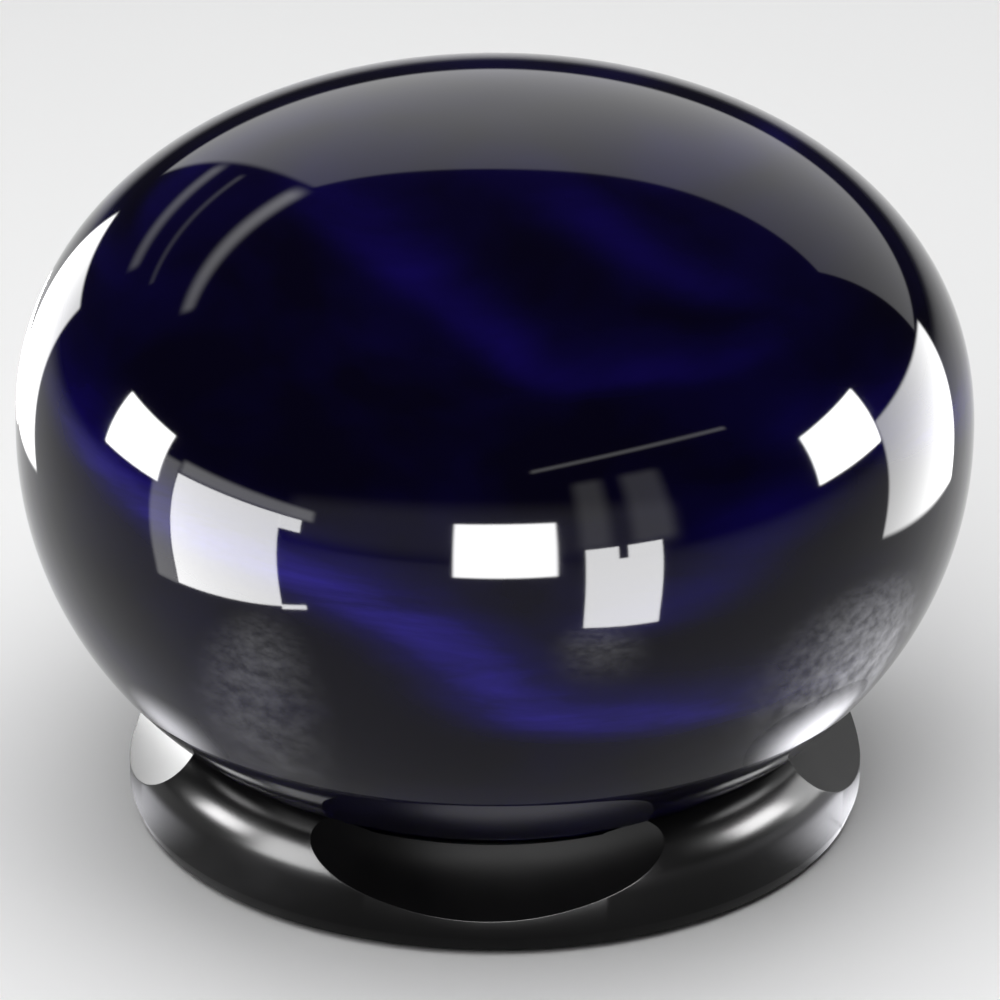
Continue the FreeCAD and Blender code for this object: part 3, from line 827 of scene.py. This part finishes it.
def winding_tape():
    """Glossy amber tape wound round in overlapping turns, so its edges show as level lines."""
    nodes = Nodes("winding_tape")
    overlap = nodes.node(
        "TexWave", {"Vector": nodes.place, "Scale": 120.0, "Distortion": 0.4},
        wave_type="BANDS", bands_direction="Z", wave_profile="SAW",
    ).outputs["Fac"]
    crinkle = nodes.noise(420.0, 3.0)
    nodes.set(
        Base_Color=nodes.blend(overlap, (0.46, 0.22, 0.022), (0.62, 0.34, 0.045)),
        Roughness=nodes.spread(crinkle, 0.16, 0.30),
        Coat_Weight=0.3,
        Coat_Roughness=0.1,
    )
    nodes.bump(nodes.math("ADD", overlap, nodes.spread(crinkle, 0.0, 0.5)), 0.03 * MM, 0.7)
    return nodes.material


def clear_glass():
    """The clear inner glass, with faint draw lines and a breath of haze."""
    nodes = Nodes("clear_glass")
    haze = nodes.noise(55.0, 3.0)
    lines = nodes.noise(1.0, 3.0, 0.5, nodes.scaled((40, 40, 320)), 0.4)
    nodes.set(
        Base_Color=nodes.blend(haze, (0.93, 0.95, 0.95), (0.97, 0.98, 0.98)),
        Roughness=nodes.spread(haze, 0.015, 0.05),
        IOR=1.47,
        Transmission_Weight=1.0,
    )
    nodes.bump(lines, 0.02 * MM, 0.4)
    return nodes.material


def board_laminate():
    """Green solder mask with the copper tracks under it showing as raised, lighter lines."""
    nodes = Nodes("board_laminate")
    steps = nodes.math("ROUND", nodes.math("MULTIPLY", nodes.noise(60.0, 2.0), 8.0), 0.0)
    snapped = nodes.math("MULTIPLY", steps, 1.5 * MM)
    shifted = nodes.node("VectorMath", {0: nodes.place, 1: snapped}, operation="ADD")
    sizes = {"Scale": 150.0, "Mortar Size": 0.045, "Mortar Smooth": 0.2, "Brick Width": 1.4}
    copper = nodes.node(
        "TexBrick", {"Vector": shifted.outputs["Vector"], **sizes},
        offset=0.37, squash=1.6, offset_frequency=2, squash_frequency=3,
    ).outputs["Fac"]
    weave = nodes.noise(900.0, 2.0)
    mask = nodes.blend(weave, (0.008, 0.070, 0.026), (0.012, 0.090, 0.034))
    nodes.set(
        Base_Color=nodes.blend(copper, mask, (0.030, 0.190, 0.070)),
        Roughness=nodes.spread(weave, 0.24, 0.36),
        Coat_Weight=0.35,
        Coat_Roughness=0.15,
    )
    nodes.bump(nodes.math("ADD", copper, nodes.spread(weave, 0.0, 0.2)), 0.035 * MM, 0.8)
    return nodes.material


def package_epoxy(name, epoxy_z):
    """Black moulding compound between two heights, with bare tinned metal above and below it."""
    nodes = Nodes(name)
    height = nodes.split()["Z"]
    above = nodes.math("GREATER_THAN", height, epoxy_z[1])
    below = nodes.math("LESS_THAN", height, epoxy_z[0])
    bare = nodes.math("MAXIMUM", above, below)
    fine = nodes.noise(3400.0, 3.0, 0.6)
    black = nodes.blend(fine, (0.012, 0.012, 0.013), (0.026, 0.026, 0.027))
    tin = nodes.blend(fine, (0.50, 0.50, 0.49), (0.62, 0.62, 0.61))
    rough = nodes.spread(fine, 0.36, 0.62)
    nodes.set(
        Base_Color=nodes.blend(bare, black, tin),
        Roughness=nodes.math("SUBTRACT", rough, nodes.math("MULTIPLY", bare, 0.16)),
        Metallic=bare,
    )
    nodes.bump(fine, 0.02 * MM, 0.5)
    return nodes.material


def resistor_body():
    """Beige lacquer with coloured bands round it."""
    low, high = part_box("resistors")
    nodes = Nodes("resistor_body")
    share = nodes.spread(nodes.split()["Y"], 0.0, 1.0, low.y, high.y)
    ramp = nodes.node("ValToRGB", {"Fac": share})
    ramp.color_ramp.interpolation = "CONSTANT"
    beige = (0.56, 0.42, 0.25)
    bands = (
        (0.16, 0.25, (0.20, 0.075, 0.02)),
        (0.37, 0.45, (0.02, 0.02, 0.02)),
        (0.56, 0.64, (0.62, 0.05, 0.02)),
        (0.80, 0.88, (0.60, 0.38, 0.08)),
    )
    stops = ramp.color_ramp.elements
    stops[0].color = (*beige, 1)
    stops.remove(stops[1])
    for start, end, colour in bands:
        stops.new(start).color = (*colour, 1)
        stops.new(end).color = (*beige, 1)
    lacquer = nodes.noise(800.0, 3.0)
    nodes.set(
        Base_Color=ramp.outputs["Color"],
        Roughness=nodes.spread(lacquer, 0.20, 0.34),
        Coat_Weight=0.3,
    )
    nodes.bump(lacquer, 0.03 * MM, 0.4)
    return nodes.material


def capacitor_sleeve(name, tone, sleeve_top_z):
    """Shrunk plastic sleeve on the side of a can and bare aluminium on its top."""
    nodes = Nodes(name)
    bare = nodes.math("GREATER_THAN", nodes.split()["Z"], sleeve_top_z)
    fine = nodes.noise(700.0, 3.0)
    sleeve = nodes.blend(fine, tone, tuple(1.35 * channel for channel in tone))
    metal = nodes.blend(fine, (0.50, 0.50, 0.51), aluminium)
    nodes.set(
        Base_Color=nodes.blend(bare, sleeve, metal),
        Roughness=nodes.spread(fine, 0.22, 0.36),
        Metallic=bare,
    )
    nodes.bump(fine, 0.02 * MM, 0.5)
    return nodes.material


def capsule_metal():
    """The microphone's drawn can, with felt showing in its mouth."""
    low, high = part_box("microphone")
    nodes = Nodes("capsule_metal")
    mouth_radius = 0.52 * MM
    middle = (-(low.x + high.x) / 2, 0, -(low.z + high.z) / 2)
    centred = nodes.node("Mapping", {"Vector": nodes.place, "Location": middle, "Scale": (1, 0, 1)})
    felt = nodes.math("LESS_THAN", nodes.length(centred.outputs["Vector"]), mouth_radius)
    fine = nodes.noise(2600.0, 3.0)
    metal = nodes.blend(fine, (0.48, 0.48, 0.49), aluminium)
    nodes.set(
        Base_Color=nodes.blend(felt, metal, (0.012, 0.012, 0.012)),
        Roughness=nodes.math(
            "ADD", nodes.spread(fine, 0.24, 0.36), nodes.math("MULTIPLY", felt, 0.55)
        ),
        Metallic=nodes.math("SUBTRACT", 1.0, felt),
    )
    nodes.bump(fine, 0.02 * MM, 0.5)
    return nodes.material


# ---- small pieces -------------------------------------------------------------------------
def turned_piece(name, profile, segments, sharp_angle=32.0):
    bm = bmesh.new()
    revolve(bm, profile, segments, closed=False)
    return finish_mesh(bm, name, sharp_angle)


def make_feet(finish):
    """Four rubber feet: a rounded rim, a grooved tread and a flat top in the cover's pocket."""
    rim = 0.4 * MM
    groove = 0.3 * MM
    top_edge = 0.1 * MM
    profile = [(0.0, 0.0)]
    for groove_radius in (1.7 * MM, 3.2 * MM):
        profile += arc((groove_radius, 0.0), groove, 180, 0, 6)
    profile += arc((foot_radius - rim, rim), rim, -90, 0, 6)
    profile += [
        (foot_radius, foot_top_z - top_edge),
        (foot_radius - top_edge, foot_top_z),
        (0.0, foot_top_z),
    ]
    foot = turned_piece("foot_pads", profile, 64, 40.0)
    place_mesh(foot, Matrix.Translation((foot_circle_radius, 0, 0)))
    return repeated(foot, finish, 4, turn=math.pi / 2)


def screw_mesh(name, head_radius, head_height, shank_radius, shank_length):
    """A pan head with a cross recess on a ridged shank, its seat at height zero."""
    edge = 0.45 * head_height
    rim = 0.06 * MM
    neck = 0.3 * MM
    point = 0.3 * MM
    unthreaded = 0.9 * MM
    profile = [(0.0, head_height), (0.55 * head_radius, 0.96 * head_height)]
    profile += arc((head_radius - edge, head_height - 1.25 * edge), edge, 75, 0, 6)
    profile += [(head_radius, rim), (head_radius - rim, 0.0), (shank_radius, 0.0)]
    ridges = int((shank_length - unthreaded) / thread_pitch)
    for ridge in range(ridges):
        crest = -neck - ridge * thread_pitch
        profile += [(shank_radius, crest), (shank_radius - thread_depth, crest - thread_pitch / 2)]
    profile += [(shank_radius - point, -shank_length), (0.0, -shank_length)]
    made = turned_piece(name, profile, 40)
    depth = (0.35 * head_height, 2 * head_height)
    cut_cross(made, 0.6 * head_radius, 0.16 * head_radius, depth)
    return made


def cut_cross(piece, arm, half_slot, z_range):
    """Cuts two crossed slots into a piece's top."""
    for x, y in ((arm, half_slot), (half_slot, arm)):
        combine(piece, box_mesh("cross_cut", (-x, x), (-y, y), z_range), "DIFFERENCE")


def make_screws(name, node, circle_radius, seat_z, head_radius, shank_radius, head_down):
    """Four screws on a circle, halfway between the facets, with their seats at one height."""
    low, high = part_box(node)
    below, above = seat_z - low.z, high.z - seat_z
    head_height, shank_length = (below, above) if head_down else (above, below)
    one = screw_mesh(name, head_radius, head_height, shank_radius, shank_length)
    seat = Matrix.Translation((circle_radius, 0, seat_z))
    if head_down:
        seat = seat @ Matrix.Rotation(math.pi, 4, "X")
    place_mesh(one, seat)
    return repeated(one, screw_metal, 4, turn=math.pi / 2, first_turn=math.pi / 4)


def make_knob():
    """The slider: a softly edged bar whose tip has three grip grooves across it."""
    low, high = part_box("switch_knob")
    knob = box_mesh(
        "slide_knob", (low.x, high.x), (low.y, high.y), (low.z, high.z), bevel=0.28 * MM
    )
    middle = (low.x + high.x) / 2
    half_groove = 0.16 * MM
    y_range = (high.y - 0.3 * MM, high.y + MM)
    z_range = (low.z - MM, high.z + MM)
    for offset in (-0.75 * MM, 0.0, 0.75 * MM):
        x_range = (middle + offset - half_groove, middle + offset + half_groove)
        combine(knob, box_mesh("grip_groove", x_range, y_range, z_range), "DIFFERENCE")
    return knob


def rounded_loop(centre, width, height, corner, y, steps=8):
    """Points round a rounded rectangle that faces the rear."""
    points = []
    for quadrant in range(4):
        side = (1, -1, -1, 1)[quadrant]
        rise = (1, 1, -1, -1)[quadrant]
        middle = (side * (width / 2 - corner), rise * (height / 2 - corner))
        for x, z in arc(middle, corner, 90 * quadrant, 90 * quadrant + 90, steps):
            points.append((centre[0] + x, y, centre[1] + z))
    return points


def make_inlet_shell():
    """The inlet's drawn shell: closed inside, with a rolled lip round its mouth."""
    low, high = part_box("inlet_shell")
    centre = ((low.x + high.x) / 2, (low.z + high.z) / 2)
    width, height = high.x - low.x, high.z - low.z
    wall = 0.3 * MM
    corner = height / 2 - 0.02 * MM
    back_wall = 1.0 * MM
    stations = [
        (0.0, low.y),
        (0.0, high.y - 0.12 * MM),
        (0.04 * MM, high.y - 0.03 * MM),
        (0.12 * MM, high.y),
        (0.20 * MM, high.y - 0.02 * MM),
        (wall, high.y - 0.15 * MM),
        (wall, low.y + back_wall),
    ]
    loops = [
        rounded_loop(centre, width - 2 * inset, height - 2 * inset, corner - inset, y)
        for inset, y in stations
    ]
    return loft("power_inlet", loops, 40.0)


def make_contacts(finish):
    """Gold-flashed contact strips along both faces of the inlet's tongue."""
    low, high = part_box("inlet_tongue")
    half_strip = 0.13 * MM
    proud = 0.02 * MM
    tip_gap = 0.3 * MM
    strip_end = 4.2 * MM
    first_x = (low.x + high.x) / 2 - contact_pitch * (contact_count - 1) / 2
    bm = bmesh.new()
    for z_range in ((high.z - proud, high.z + proud), (low.z - proud, low.z + proud)):
        made = bmesh.ops.create_cube(bm, size=1.0)["verts"]
        for vertex in made:
            vertex.co.x = first_x + half_strip * (1 if vertex.co.x > 0 else -1)
            vertex.co.y = high.y - (tip_gap if vertex.co.y > 0 else strip_end)
            vertex.co.z = z_range[1] if vertex.co.z > 0 else z_range[0]
    contacts = finish_mesh(bm, "inlet_contacts")
    return repeated(contacts, finish, contact_count, step=(contact_pitch, 0.0, 0.0))


def make_wire_turns(finish):
    """The primary winding: level turns of round wire on the bobbin."""
    low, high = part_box("primary_winding")
    middle_y = (low.y + high.y) / 2
    growth = Growth(
        "wire_turns",
        turns=wire_turns,
        width=high.x - low.x - 2 * wire_radius,
        depth=high.y - low.y - 2 * wire_radius,
        corner=0.6 * MM,
        wire_radius=wire_radius,
        first=(0.0, middle_y, low.z + wire_radius),
        last=(0.0, middle_y, high.z - wire_radius),
        finish=finish,
    )
    given = growth.given
    loop = growth.node(
        "GeometryNodeCurvePrimitiveQuadrilateral",
        {"Width": given("width"), "Height": given("depth")},
        mode="RECTANGLE",
    )
    rounded = growth.node(
        "GeometryNodeFilletCurve",
        {"Curve": loop.outputs["Curve"], "Radius": given("corner"), "Count": 5},
        mode="POLY",
    )
    wire = growth.tube(rounded.outputs["Curve"], given("wire_radius"), 8)
    levels = growth.node(
        "GeometryNodeMeshLine",
        {"Count": given("turns"), "Start Location": given("first"), "Offset": given("last")},
        mode="END_POINTS",
    )
    turns = growth.instances(levels.outputs["Mesh"], wire)
    return growth.grow(turns, piece_from("primary_wire", bpy.data.meshes.new("primary_wire")))


def make_steel_wool(finish):
    """A ball of curved steel strands, each part of a circle about the ball's middle."""
    low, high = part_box("conductive_wool")
    growth = Growth(
        "wool_strands",
        count=strand_count,
        ball_radius=(high.x - low.x) / 2 - 2 * strand_radius,
        strand_radius=strand_radius,
        sweep=math.radians(115),
        middle=(0.0, 0.0, (low.z + high.z) / 2),
        seed=7,
        finish=finish,
    )
    given = growth.given
    strand = growth.node(
        "GeometryNodeCurveArc",
        {"Resolution": 12, "Radius": given("ball_radius"), "Sweep Angle": given("sweep")},
    )
    wire = growth.tube(strand.outputs["Curve"], given("strand_radius"), 3)
    points = growth.node(
        "GeometryNodePoints", {"Count": given("count"), "Position": given("middle")}
    )
    turns = growth.node(
        "FunctionNodeRandomValue",
        {"Seed": given("seed"), "Max": (math.tau, math.tau, math.tau)},
        data_type="FLOAT_VECTOR",
    )
    smallest, largest = 0.45, 1.0
    sizes = growth.node(
        "FunctionNodeRandomValue",
        {"Seed": given("seed"), 2: smallest, 3: largest},
        data_type="FLOAT",
    )
    strands = growth.instances(
        points.outputs["Points"], wire, turns.outputs["Value"], sizes.outputs[1]
    )
    return growth.grow(strands, piece_from("wool_strands", bpy.data.meshes.new("wool_strands")))


def make_can(node, name):
    """An upright can: rolled foot groove, turned-in top edge and a scored, slightly sunk top."""
    low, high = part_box(node)
    radius = (high.x - low.x) / 2
    groove_z = low.z + 2.0 * MM
    groove = 0.45 * MM
    edge = 0.6 * MM
    rim = 0.3 * MM
    sunk_z = high.z - 0.2 * MM
    profile = [(0.0, low.z), (radius - rim, low.z), (radius, low.z + rim)]
    rolled = arc((radius + 0.05 * MM, groove_z), groove, -100, -260, 10)
    profile += [(x, z) for x, z in rolled if x <= radius]
    profile += arc((radius - edge, high.z - edge), edge, 0, 90, 6)
    profile += [(radius - 1.1 * MM, high.z - 0.02 * MM), (radius - 1.3 * MM, sunk_z), (0.0, sunk_z)]
    can = turned_piece(name, profile, 72)
    place_mesh(can, Matrix.Translation((0, 0, -high.z)))
    cut_cross(can, 0.62 * radius, 0.12 * MM, (-0.35 * MM, 0.1 * MM))
    place_mesh(can, Matrix.Translation(((low.x + high.x) / 2, (low.y + high.y) / 2, high.z)))
    return can


# ---- build and attach ---------------------------------------------------------------------
def attach(piece, material, node, body="root"):
    piece.data.materials.clear()
    piece.data.materials.append(material)
    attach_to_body(piece, body)
    if node:
        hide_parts(node)


def cover_node(node, material):
    """Gives a CAD node its finish and leaves its mesh alone."""
    solid = frame["nodes"][node]
    for slot in solid.material_slots:
        slot.material = material


cover_plastic = plain(
    "cover_plastic", (0.010, 0.010, 0.011), (0.018, 0.018, 0.019), (0.42, 0.58), depth=0.03
)
rubber = plain(
    "foot_rubber", (0.020, 0.020, 0.020), (0.034, 0.033, 0.032), (0.68, 0.86),
    grain=2600.0, depth=0.04, Sheen_Weight=0.15, Sheen_Roughness=0.6,
)
silicone = plain(
    "pad_silicone", (0.30, 0.30, 0.31), (0.40, 0.40, 0.40), (0.40, 0.55),
    depth=0.015, Subsurface_Weight=0.25, Subsurface_Scale=1.2 * MM,
)
red_silicone = plain(
    "lead_silicone", (0.33, 0.020, 0.014), (0.45, 0.032, 0.020), (0.38, 0.52)
)
bobbin_plastic = plain(
    "bobbin_plastic", (0.52, 0.49, 0.42), (0.62, 0.59, 0.52), (0.34, 0.46)
)
ferrite = plain(
    "ferrite", (0.012, 0.012, 0.013), (0.035, 0.035, 0.037), (0.48, 0.72),
    grain=3200.0, depth=0.05,
)
film_case = plain(
    "film_case", (0.30, 0.035, 0.012), (0.38, 0.055, 0.02), (0.16, 0.28), depth=0.02
)
knob_plastic = plain(
    "knob_plastic", (0.008, 0.008, 0.009), (0.022, 0.022, 0.023), (0.26, 0.44), depth=0.012
)
tongue_plastic = plain(
    "tongue_plastic", (0.010, 0.010, 0.010), (0.020, 0.020, 0.021), (0.35, 0.5)
)
screw_metal = plain(
    "bright_screw", (0.36, 0.36, 0.37), (0.52, 0.52, 0.52), (0.22, 0.36),
    grain=3000.0, depth=0.008, Metallic=1.0,
)
wool_metal = plain(
    "wool_steel", (0.16, 0.16, 0.17), (0.44, 0.44, 0.45), (0.30, 0.48),
    patches=420.0, grain=6000.0, depth=0.004, Metallic=1.0,
)
enamelled_copper = plain(
    "enamelled_copper", (0.50, 0.17, 0.065), (0.68, 0.27, 0.11), (0.24, 0.36),
    patches=260.0, grain=4000.0, depth=0.004, Metallic=1.0, Coat_Weight=0.6, Coat_Roughness=0.12,
)
inlet_metal = drawn_metal("inlet_steel", steel, 1)
gold = drawn_metal("contact_gold", (0.75, 0.50, 0.17), 1)
glass = clear_glass()

attach(make_globe(), indigo_glass(), "glass_globe")
ground_base = make_base()
attach(ground_base, black_gloss("base_satin", 0.20, 0.26, 0.14), "base_ring")
ground_base.data.materials.append(black_gloss("base_polish", 0.08, 0.12, 0.02))
attach(make_feet(rubber), rubber, "rubber_feet")
cover_screws = make_screws(
    "cover_screw_set", "cover_screws", cover_screw_circle_radius, cover_screw_seat_z,
    cover_screw_head_radius, cover_screw_radius, head_down=True,
)
attach(cover_screws, screw_metal, "cover_screws")
board_screws = make_screws(
    "board_screw_set", "board_screws", board_screw_circle_radius, board_screw_seat_z,
    board_screw_head_radius, board_screw_radius, head_down=False,
)
attach(board_screws, screw_metal, "board_screws")
attach(make_knob(), knob_plastic, "switch_knob", "switch_slider")
attach(make_inlet_shell(), inlet_metal, "inlet_shell")
attach(make_contacts(gold), gold, None)
attach(
    make_wire_turns(enamelled_copper), enamelled_copper, "primary_winding"
)
attach(make_steel_wool(wool_metal), wool_metal, "conductive_wool")
can_tones = {"bus_capacitor": (0.010, 0.016, 0.050), "input_capacitor": (0.008, 0.008, 0.009)}
for can_node, tone in can_tones.items():
    sleeve = capacitor_sleeve(can_node + "_sleeve", tone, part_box(can_node)[1].z - 0.1 * MM)
    attach(make_can(can_node, can_node + "_can"), sleeve, can_node)

transistor_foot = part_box("power_transistor")[0].z
chip_foot, chip_top = (corner.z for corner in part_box("driver_chip"))
transistor_epoxy = (transistor_foot + 3.0 * MM, transistor_foot + 12.0 * MM)
chip_epoxy = (chip_foot + 0.2 * MM, chip_top + MM)
node_finishes = {
    "electrode_glass": glass,
    "exhaust_tip": glass,
    "hv_rod": drawn_metal("rod_steel", steel, 2),
    "hv_lead": red_silicone,
    "stem_bung": silicone,
    "seat_pad": silicone,
    "bottom_cover": cover_plastic,
    "circuit_board": board_laminate(),
    "core_halves": ferrite,
    "transformer_bobbin": bobbin_plastic,
    "hv_winding": winding_tape(),
    "heat_sink": drawn_metal("sink_aluminium", aluminium, 1),
    "power_transistor": package_epoxy("transistor_epoxy", transistor_epoxy),
    "transistor_screw": screw_metal,
    "film_capacitor": film_case,
    "driver_chip": package_epoxy("chip_epoxy", chip_epoxy),
    "resistors": resistor_body(),
    "microphone": capsule_metal(),
    "inlet_tongue": tongue_plastic,
    "switch_body": drawn_metal("switch_tin", (0.55, 0.55, 0.54), 0),
}
for node_name, finish in node_finishes.items():
    cover_node(node_name, finish)


# ---- floor, lamps and world -----------------------------------------------------------------
def make_floor():
    floor_radius = 3.0
    bm = bmesh.new()
    bmesh.ops.create_circle(bm, cap_ends=True, segments=96, radius=floor_radius)
    floor = finish_mesh(bm, "floor")
    nodes = Nodes("pale_floor")
    tone = nodes.noise(6.0, 3.0)
    nodes.set(
        Base_Color=nodes.blend(tone, (0.86, 0.86, 0.86), (0.89, 0.89, 0.89)),
        Roughness=0.9,
        Specular_IOR_Level=0.0,
    )
    floor.data.materials.append(nodes.material)


def make_world():
    world = bpy.data.worlds.new("studio")
    world.use_nodes = True
    background = world.node_tree.nodes["Background"]
    background.inputs["Color"].default_value = (0.02, 0.02, 0.022, 1)
    background.inputs["Strength"].default_value = 1.0
    scene.world = world


def lamp(name, place, aim, width, height, brightness, diffuse=True, glossy=True):
    """A flat lamp facing a point. Brightness is how bright its face is, where 1 is white."""
    data = bpy.data.lights.new(name, "AREA")
    data.shape = "RECTANGLE"
    data.size = width
    data.size_y = height
    data.energy = brightness * math.pi * width * height
    made = bpy.data.objects.new(name, data)
    scene.collection.objects.link(made)
    made.location = place
    made.rotation_euler = (Vector(aim) - Vector(place)).to_track_quat("-Z", "Y").to_euler()
    made.visible_camera = False
    made.visible_diffuse = diffuse
    made.visible_glossy = glossy
    return made


class Glow(ShaderTree):
    """One lamp's node tree."""

    def __init__(self, data):
        data.use_nodes = True
        self.tree = data.node_tree


def soften(made, edge):
    """Fades a lamp's face to nothing over the last edge millimetres at each side."""
    glow = Glow(made.data)
    face = glow.node("NewGeometry").outputs["Parametric"]
    across = glow.node("SeparateXYZ", {"Vector": face}).outputs
    fades = []
    for axis, length in (("X", made.data.size), ("Y", made.data.size_y)):
        inward = glow.math("PINGPONG", across[axis], 0.5)
        reach = min(edge * MM / length, 0.5)
        fades.append(glow.spread(inward, 0.0, 1.0, 0.0, reach, interpolation_type="SMOOTHSTEP"))
    glow.feed(glow.tree.nodes["Emission"].inputs["Strength"], glow.math("MULTIPLY", *fades))


def card(name, facing, distance, sides, rises, brightness, edge):
    """An upright reflector beside the object, seen in the gloss only.

    facing is where it stands, in degrees to the right from straight in front. sides are its left
    and right edges from its middle line and rises its lower and upper edges, and edge is how far
    it fades at each side, in millimetres.
    """
    turn = math.radians(facing)
    outward = Vector((math.sin(turn), -math.cos(turn), 0))
    across = Vector((math.cos(turn), math.sin(turn), 0))
    middle = Vector((0, 0, sum(rises) / 2)) * MM
    place = outward * distance * MM + across * sum(sides) / 2 * MM + middle
    width = (sides[1] - sides[0]) * MM
    height = (rises[1] - rises[0]) * MM
    made = lamp(name, place, place - outward, width, height, brightness, diffuse=False)
    soften(made, edge)


def gloss_only(prop):
    """Keeps a prop out of sight except where the object's gloss mirrors it."""
    prop.visible_camera = False
    prop.visible_diffuse = False
    prop.visible_shadow = False


def window_pool(name, facing, distance, half_length, half_width, brightness, patchy):
    """A mottled pool of window light on the floor, seen in the gloss only.

    Its middle lies facing degrees to the right of straight in front. Sizes are in millimetres.
    patchy is how faint and how strong its mottle is.
    """
    turn = math.radians(facing)
    centre = Vector((math.sin(turn), -math.cos(turn), 0)) * distance * MM
    half_sizes = (half_width * MM, half_length * MM, 1)
    bm = bmesh.new()
    bmesh.ops.create_circle(bm, cap_ends=True, segments=64, radius=1.0)
    shape = Matrix.Translation(centre + Vector((0, 0, MM))) @ Matrix.Rotation(turn, 4, "Z")
    shape = shape @ Matrix.Diagonal((*half_sizes, 1))
    bmesh.ops.transform(bm, matrix=shape, verts=bm.verts)
    pool = finish_mesh(bm, name)
    nodes = Nodes(name)
    sizes = {"Location": centre, "Rotation": (0, 0, turn), "Scale": half_sizes}
    local = nodes.node("Mapping", {"Vector": nodes.place, **sizes}, vector_type="TEXTURE")
    reach = nodes.length(local.outputs["Vector"])
    fade = nodes.spread(reach, 0.0, 1.0, 1.0, 0.0, interpolation_type="SMOOTHSTEP")
    mottle = nodes.spread(nodes.noise(130.0, 5.0, 0.70), *patchy, 0.36, 0.68)
    nodes.set(
        Base_Color=(0.0, 0.0, 0.0),
        Roughness=1.0,
        Specular_IOR_Level=0.0,
        Emission_Color=(0.95, 0.95, 1.0),
        Emission_Strength=brightness,
        Alpha=nodes.math("MULTIPLY", fade, mottle),
    )
    pool.data.materials.append(nodes.material)
    gloss_only(pool)


make_floor()
make_world()
# Each row: name, place, aim, width, height, brightness.
soft_lamps = (
    ("overhead", (0, 0, 0.95), (0, 0, 0), 1.1, 1.1, 2.85),
    ("front_soft", (-0.35, -1.0, 0.9), (0, 0, 0.05), 0.8, 0.8, 2.7),
    ("rear_soft", (0.3, 1.1, 0.7), (0, 0, 0.04), 0.7, 0.5, 1.1),
)
for row in soft_lamps:
    lamp(*row, glossy=False)

# Each row: name, facing, distance, left and right edges, lower and upper edges, brightness, fade.
# Cards that overlap stand a little apart, because of two in one plane a ray finds only one.
cards = (
    ("front_window", 4, 420, (-87, 80), (18, 169), 76, 7),
    ("front_wall", 0, 600, (-660, 600), (10, 330), 0.8, 110),
    ("left_lamp", -93, 400, (-14, 119), (73, 191), 76, 6),
    ("right_lamp", 93, 400, (-126, 26), (78, 207), 76, 6),
    ("left_window", -62, 190, (-8, 75), (2, 94), 44, 1),
    ("left_window_top", -62, 190.4, (74, 92), (79, 94), 44, 1),
    ("left_window_foot", -62, 190.4, (74, 95), (-3, 4), 44, 1),
    ("left_reveal", -62, 192, (-30, -6), (-2, 106), 5.5, 5),
    ("left_reveal_top", -62, 192.4, (-10, 104), (92, 110), 7.5, 6),
    ("right_window", 31, 190, (-44, 6), (4, 67), 47, 0.8),
    ("right_window_left", 31, 190.4, (-44, -22), (66.2, 79), 47, 0.8),
    ("right_window_right", 31, 190.4, (-17, 6), (66.2, 79), 47, 0.8),
    ("right_blind_left", 31, 191, (-52, -21), (74, 160), 2.0, 12),
    ("right_blind_right", 31, 191, (-18, 20), (74, 160), 2.0, 12),
    ("right_ledge", 36, 400, (-200, 200), (336, 360), 4.5, 12),
    ("left_ledge", -143, 400, (-75, 275), (400, 462), 3.6, 30),
    ("left_rail_upper", -143, 400, (-60, 160), (292, 312), 0.6, 10),
    ("left_rail_lower", -143, 400, (-75, 115), (224, 262), 1.2, 19),
    ("rear_left_window", -130, 180, (-26, 44), (4, 108), 8, 4),
    ("rear_left_low", -130, 180.4, (-64, -24), (1, 28), 38, 2),
    ("rear_right_window", 110, 180, (-74, 28), (3, 99), 13, 4),
    ("rear_wall", 180, 1000, (-1130, 440), (190, 990), 1.3, 25),
)
for row in cards:
    card(*row)

# Each row: name, facing, distance, half length, half width, brightness, mottle.
pools = (
    ("left_pool", -44, 130, 84, 34, 4.4, (0.25, 1.15)),
    ("front_pool", 21, 172, 58, 34, 4.6, (0.25, 1.15)),
    ("right_pool", 78, 108, 64, 60, 4.2, (0.25, 1.15)),
    ("left_near", -77, 66, 15, 22, 2.6, (0.9, 1.0)),
    ("right_near", 77, 66, 16, 26, 6.5, (0.9, 1.0)),
)
for row in pools:
    window_pool(*row)

scene.view_settings.view_transform = "Standard"
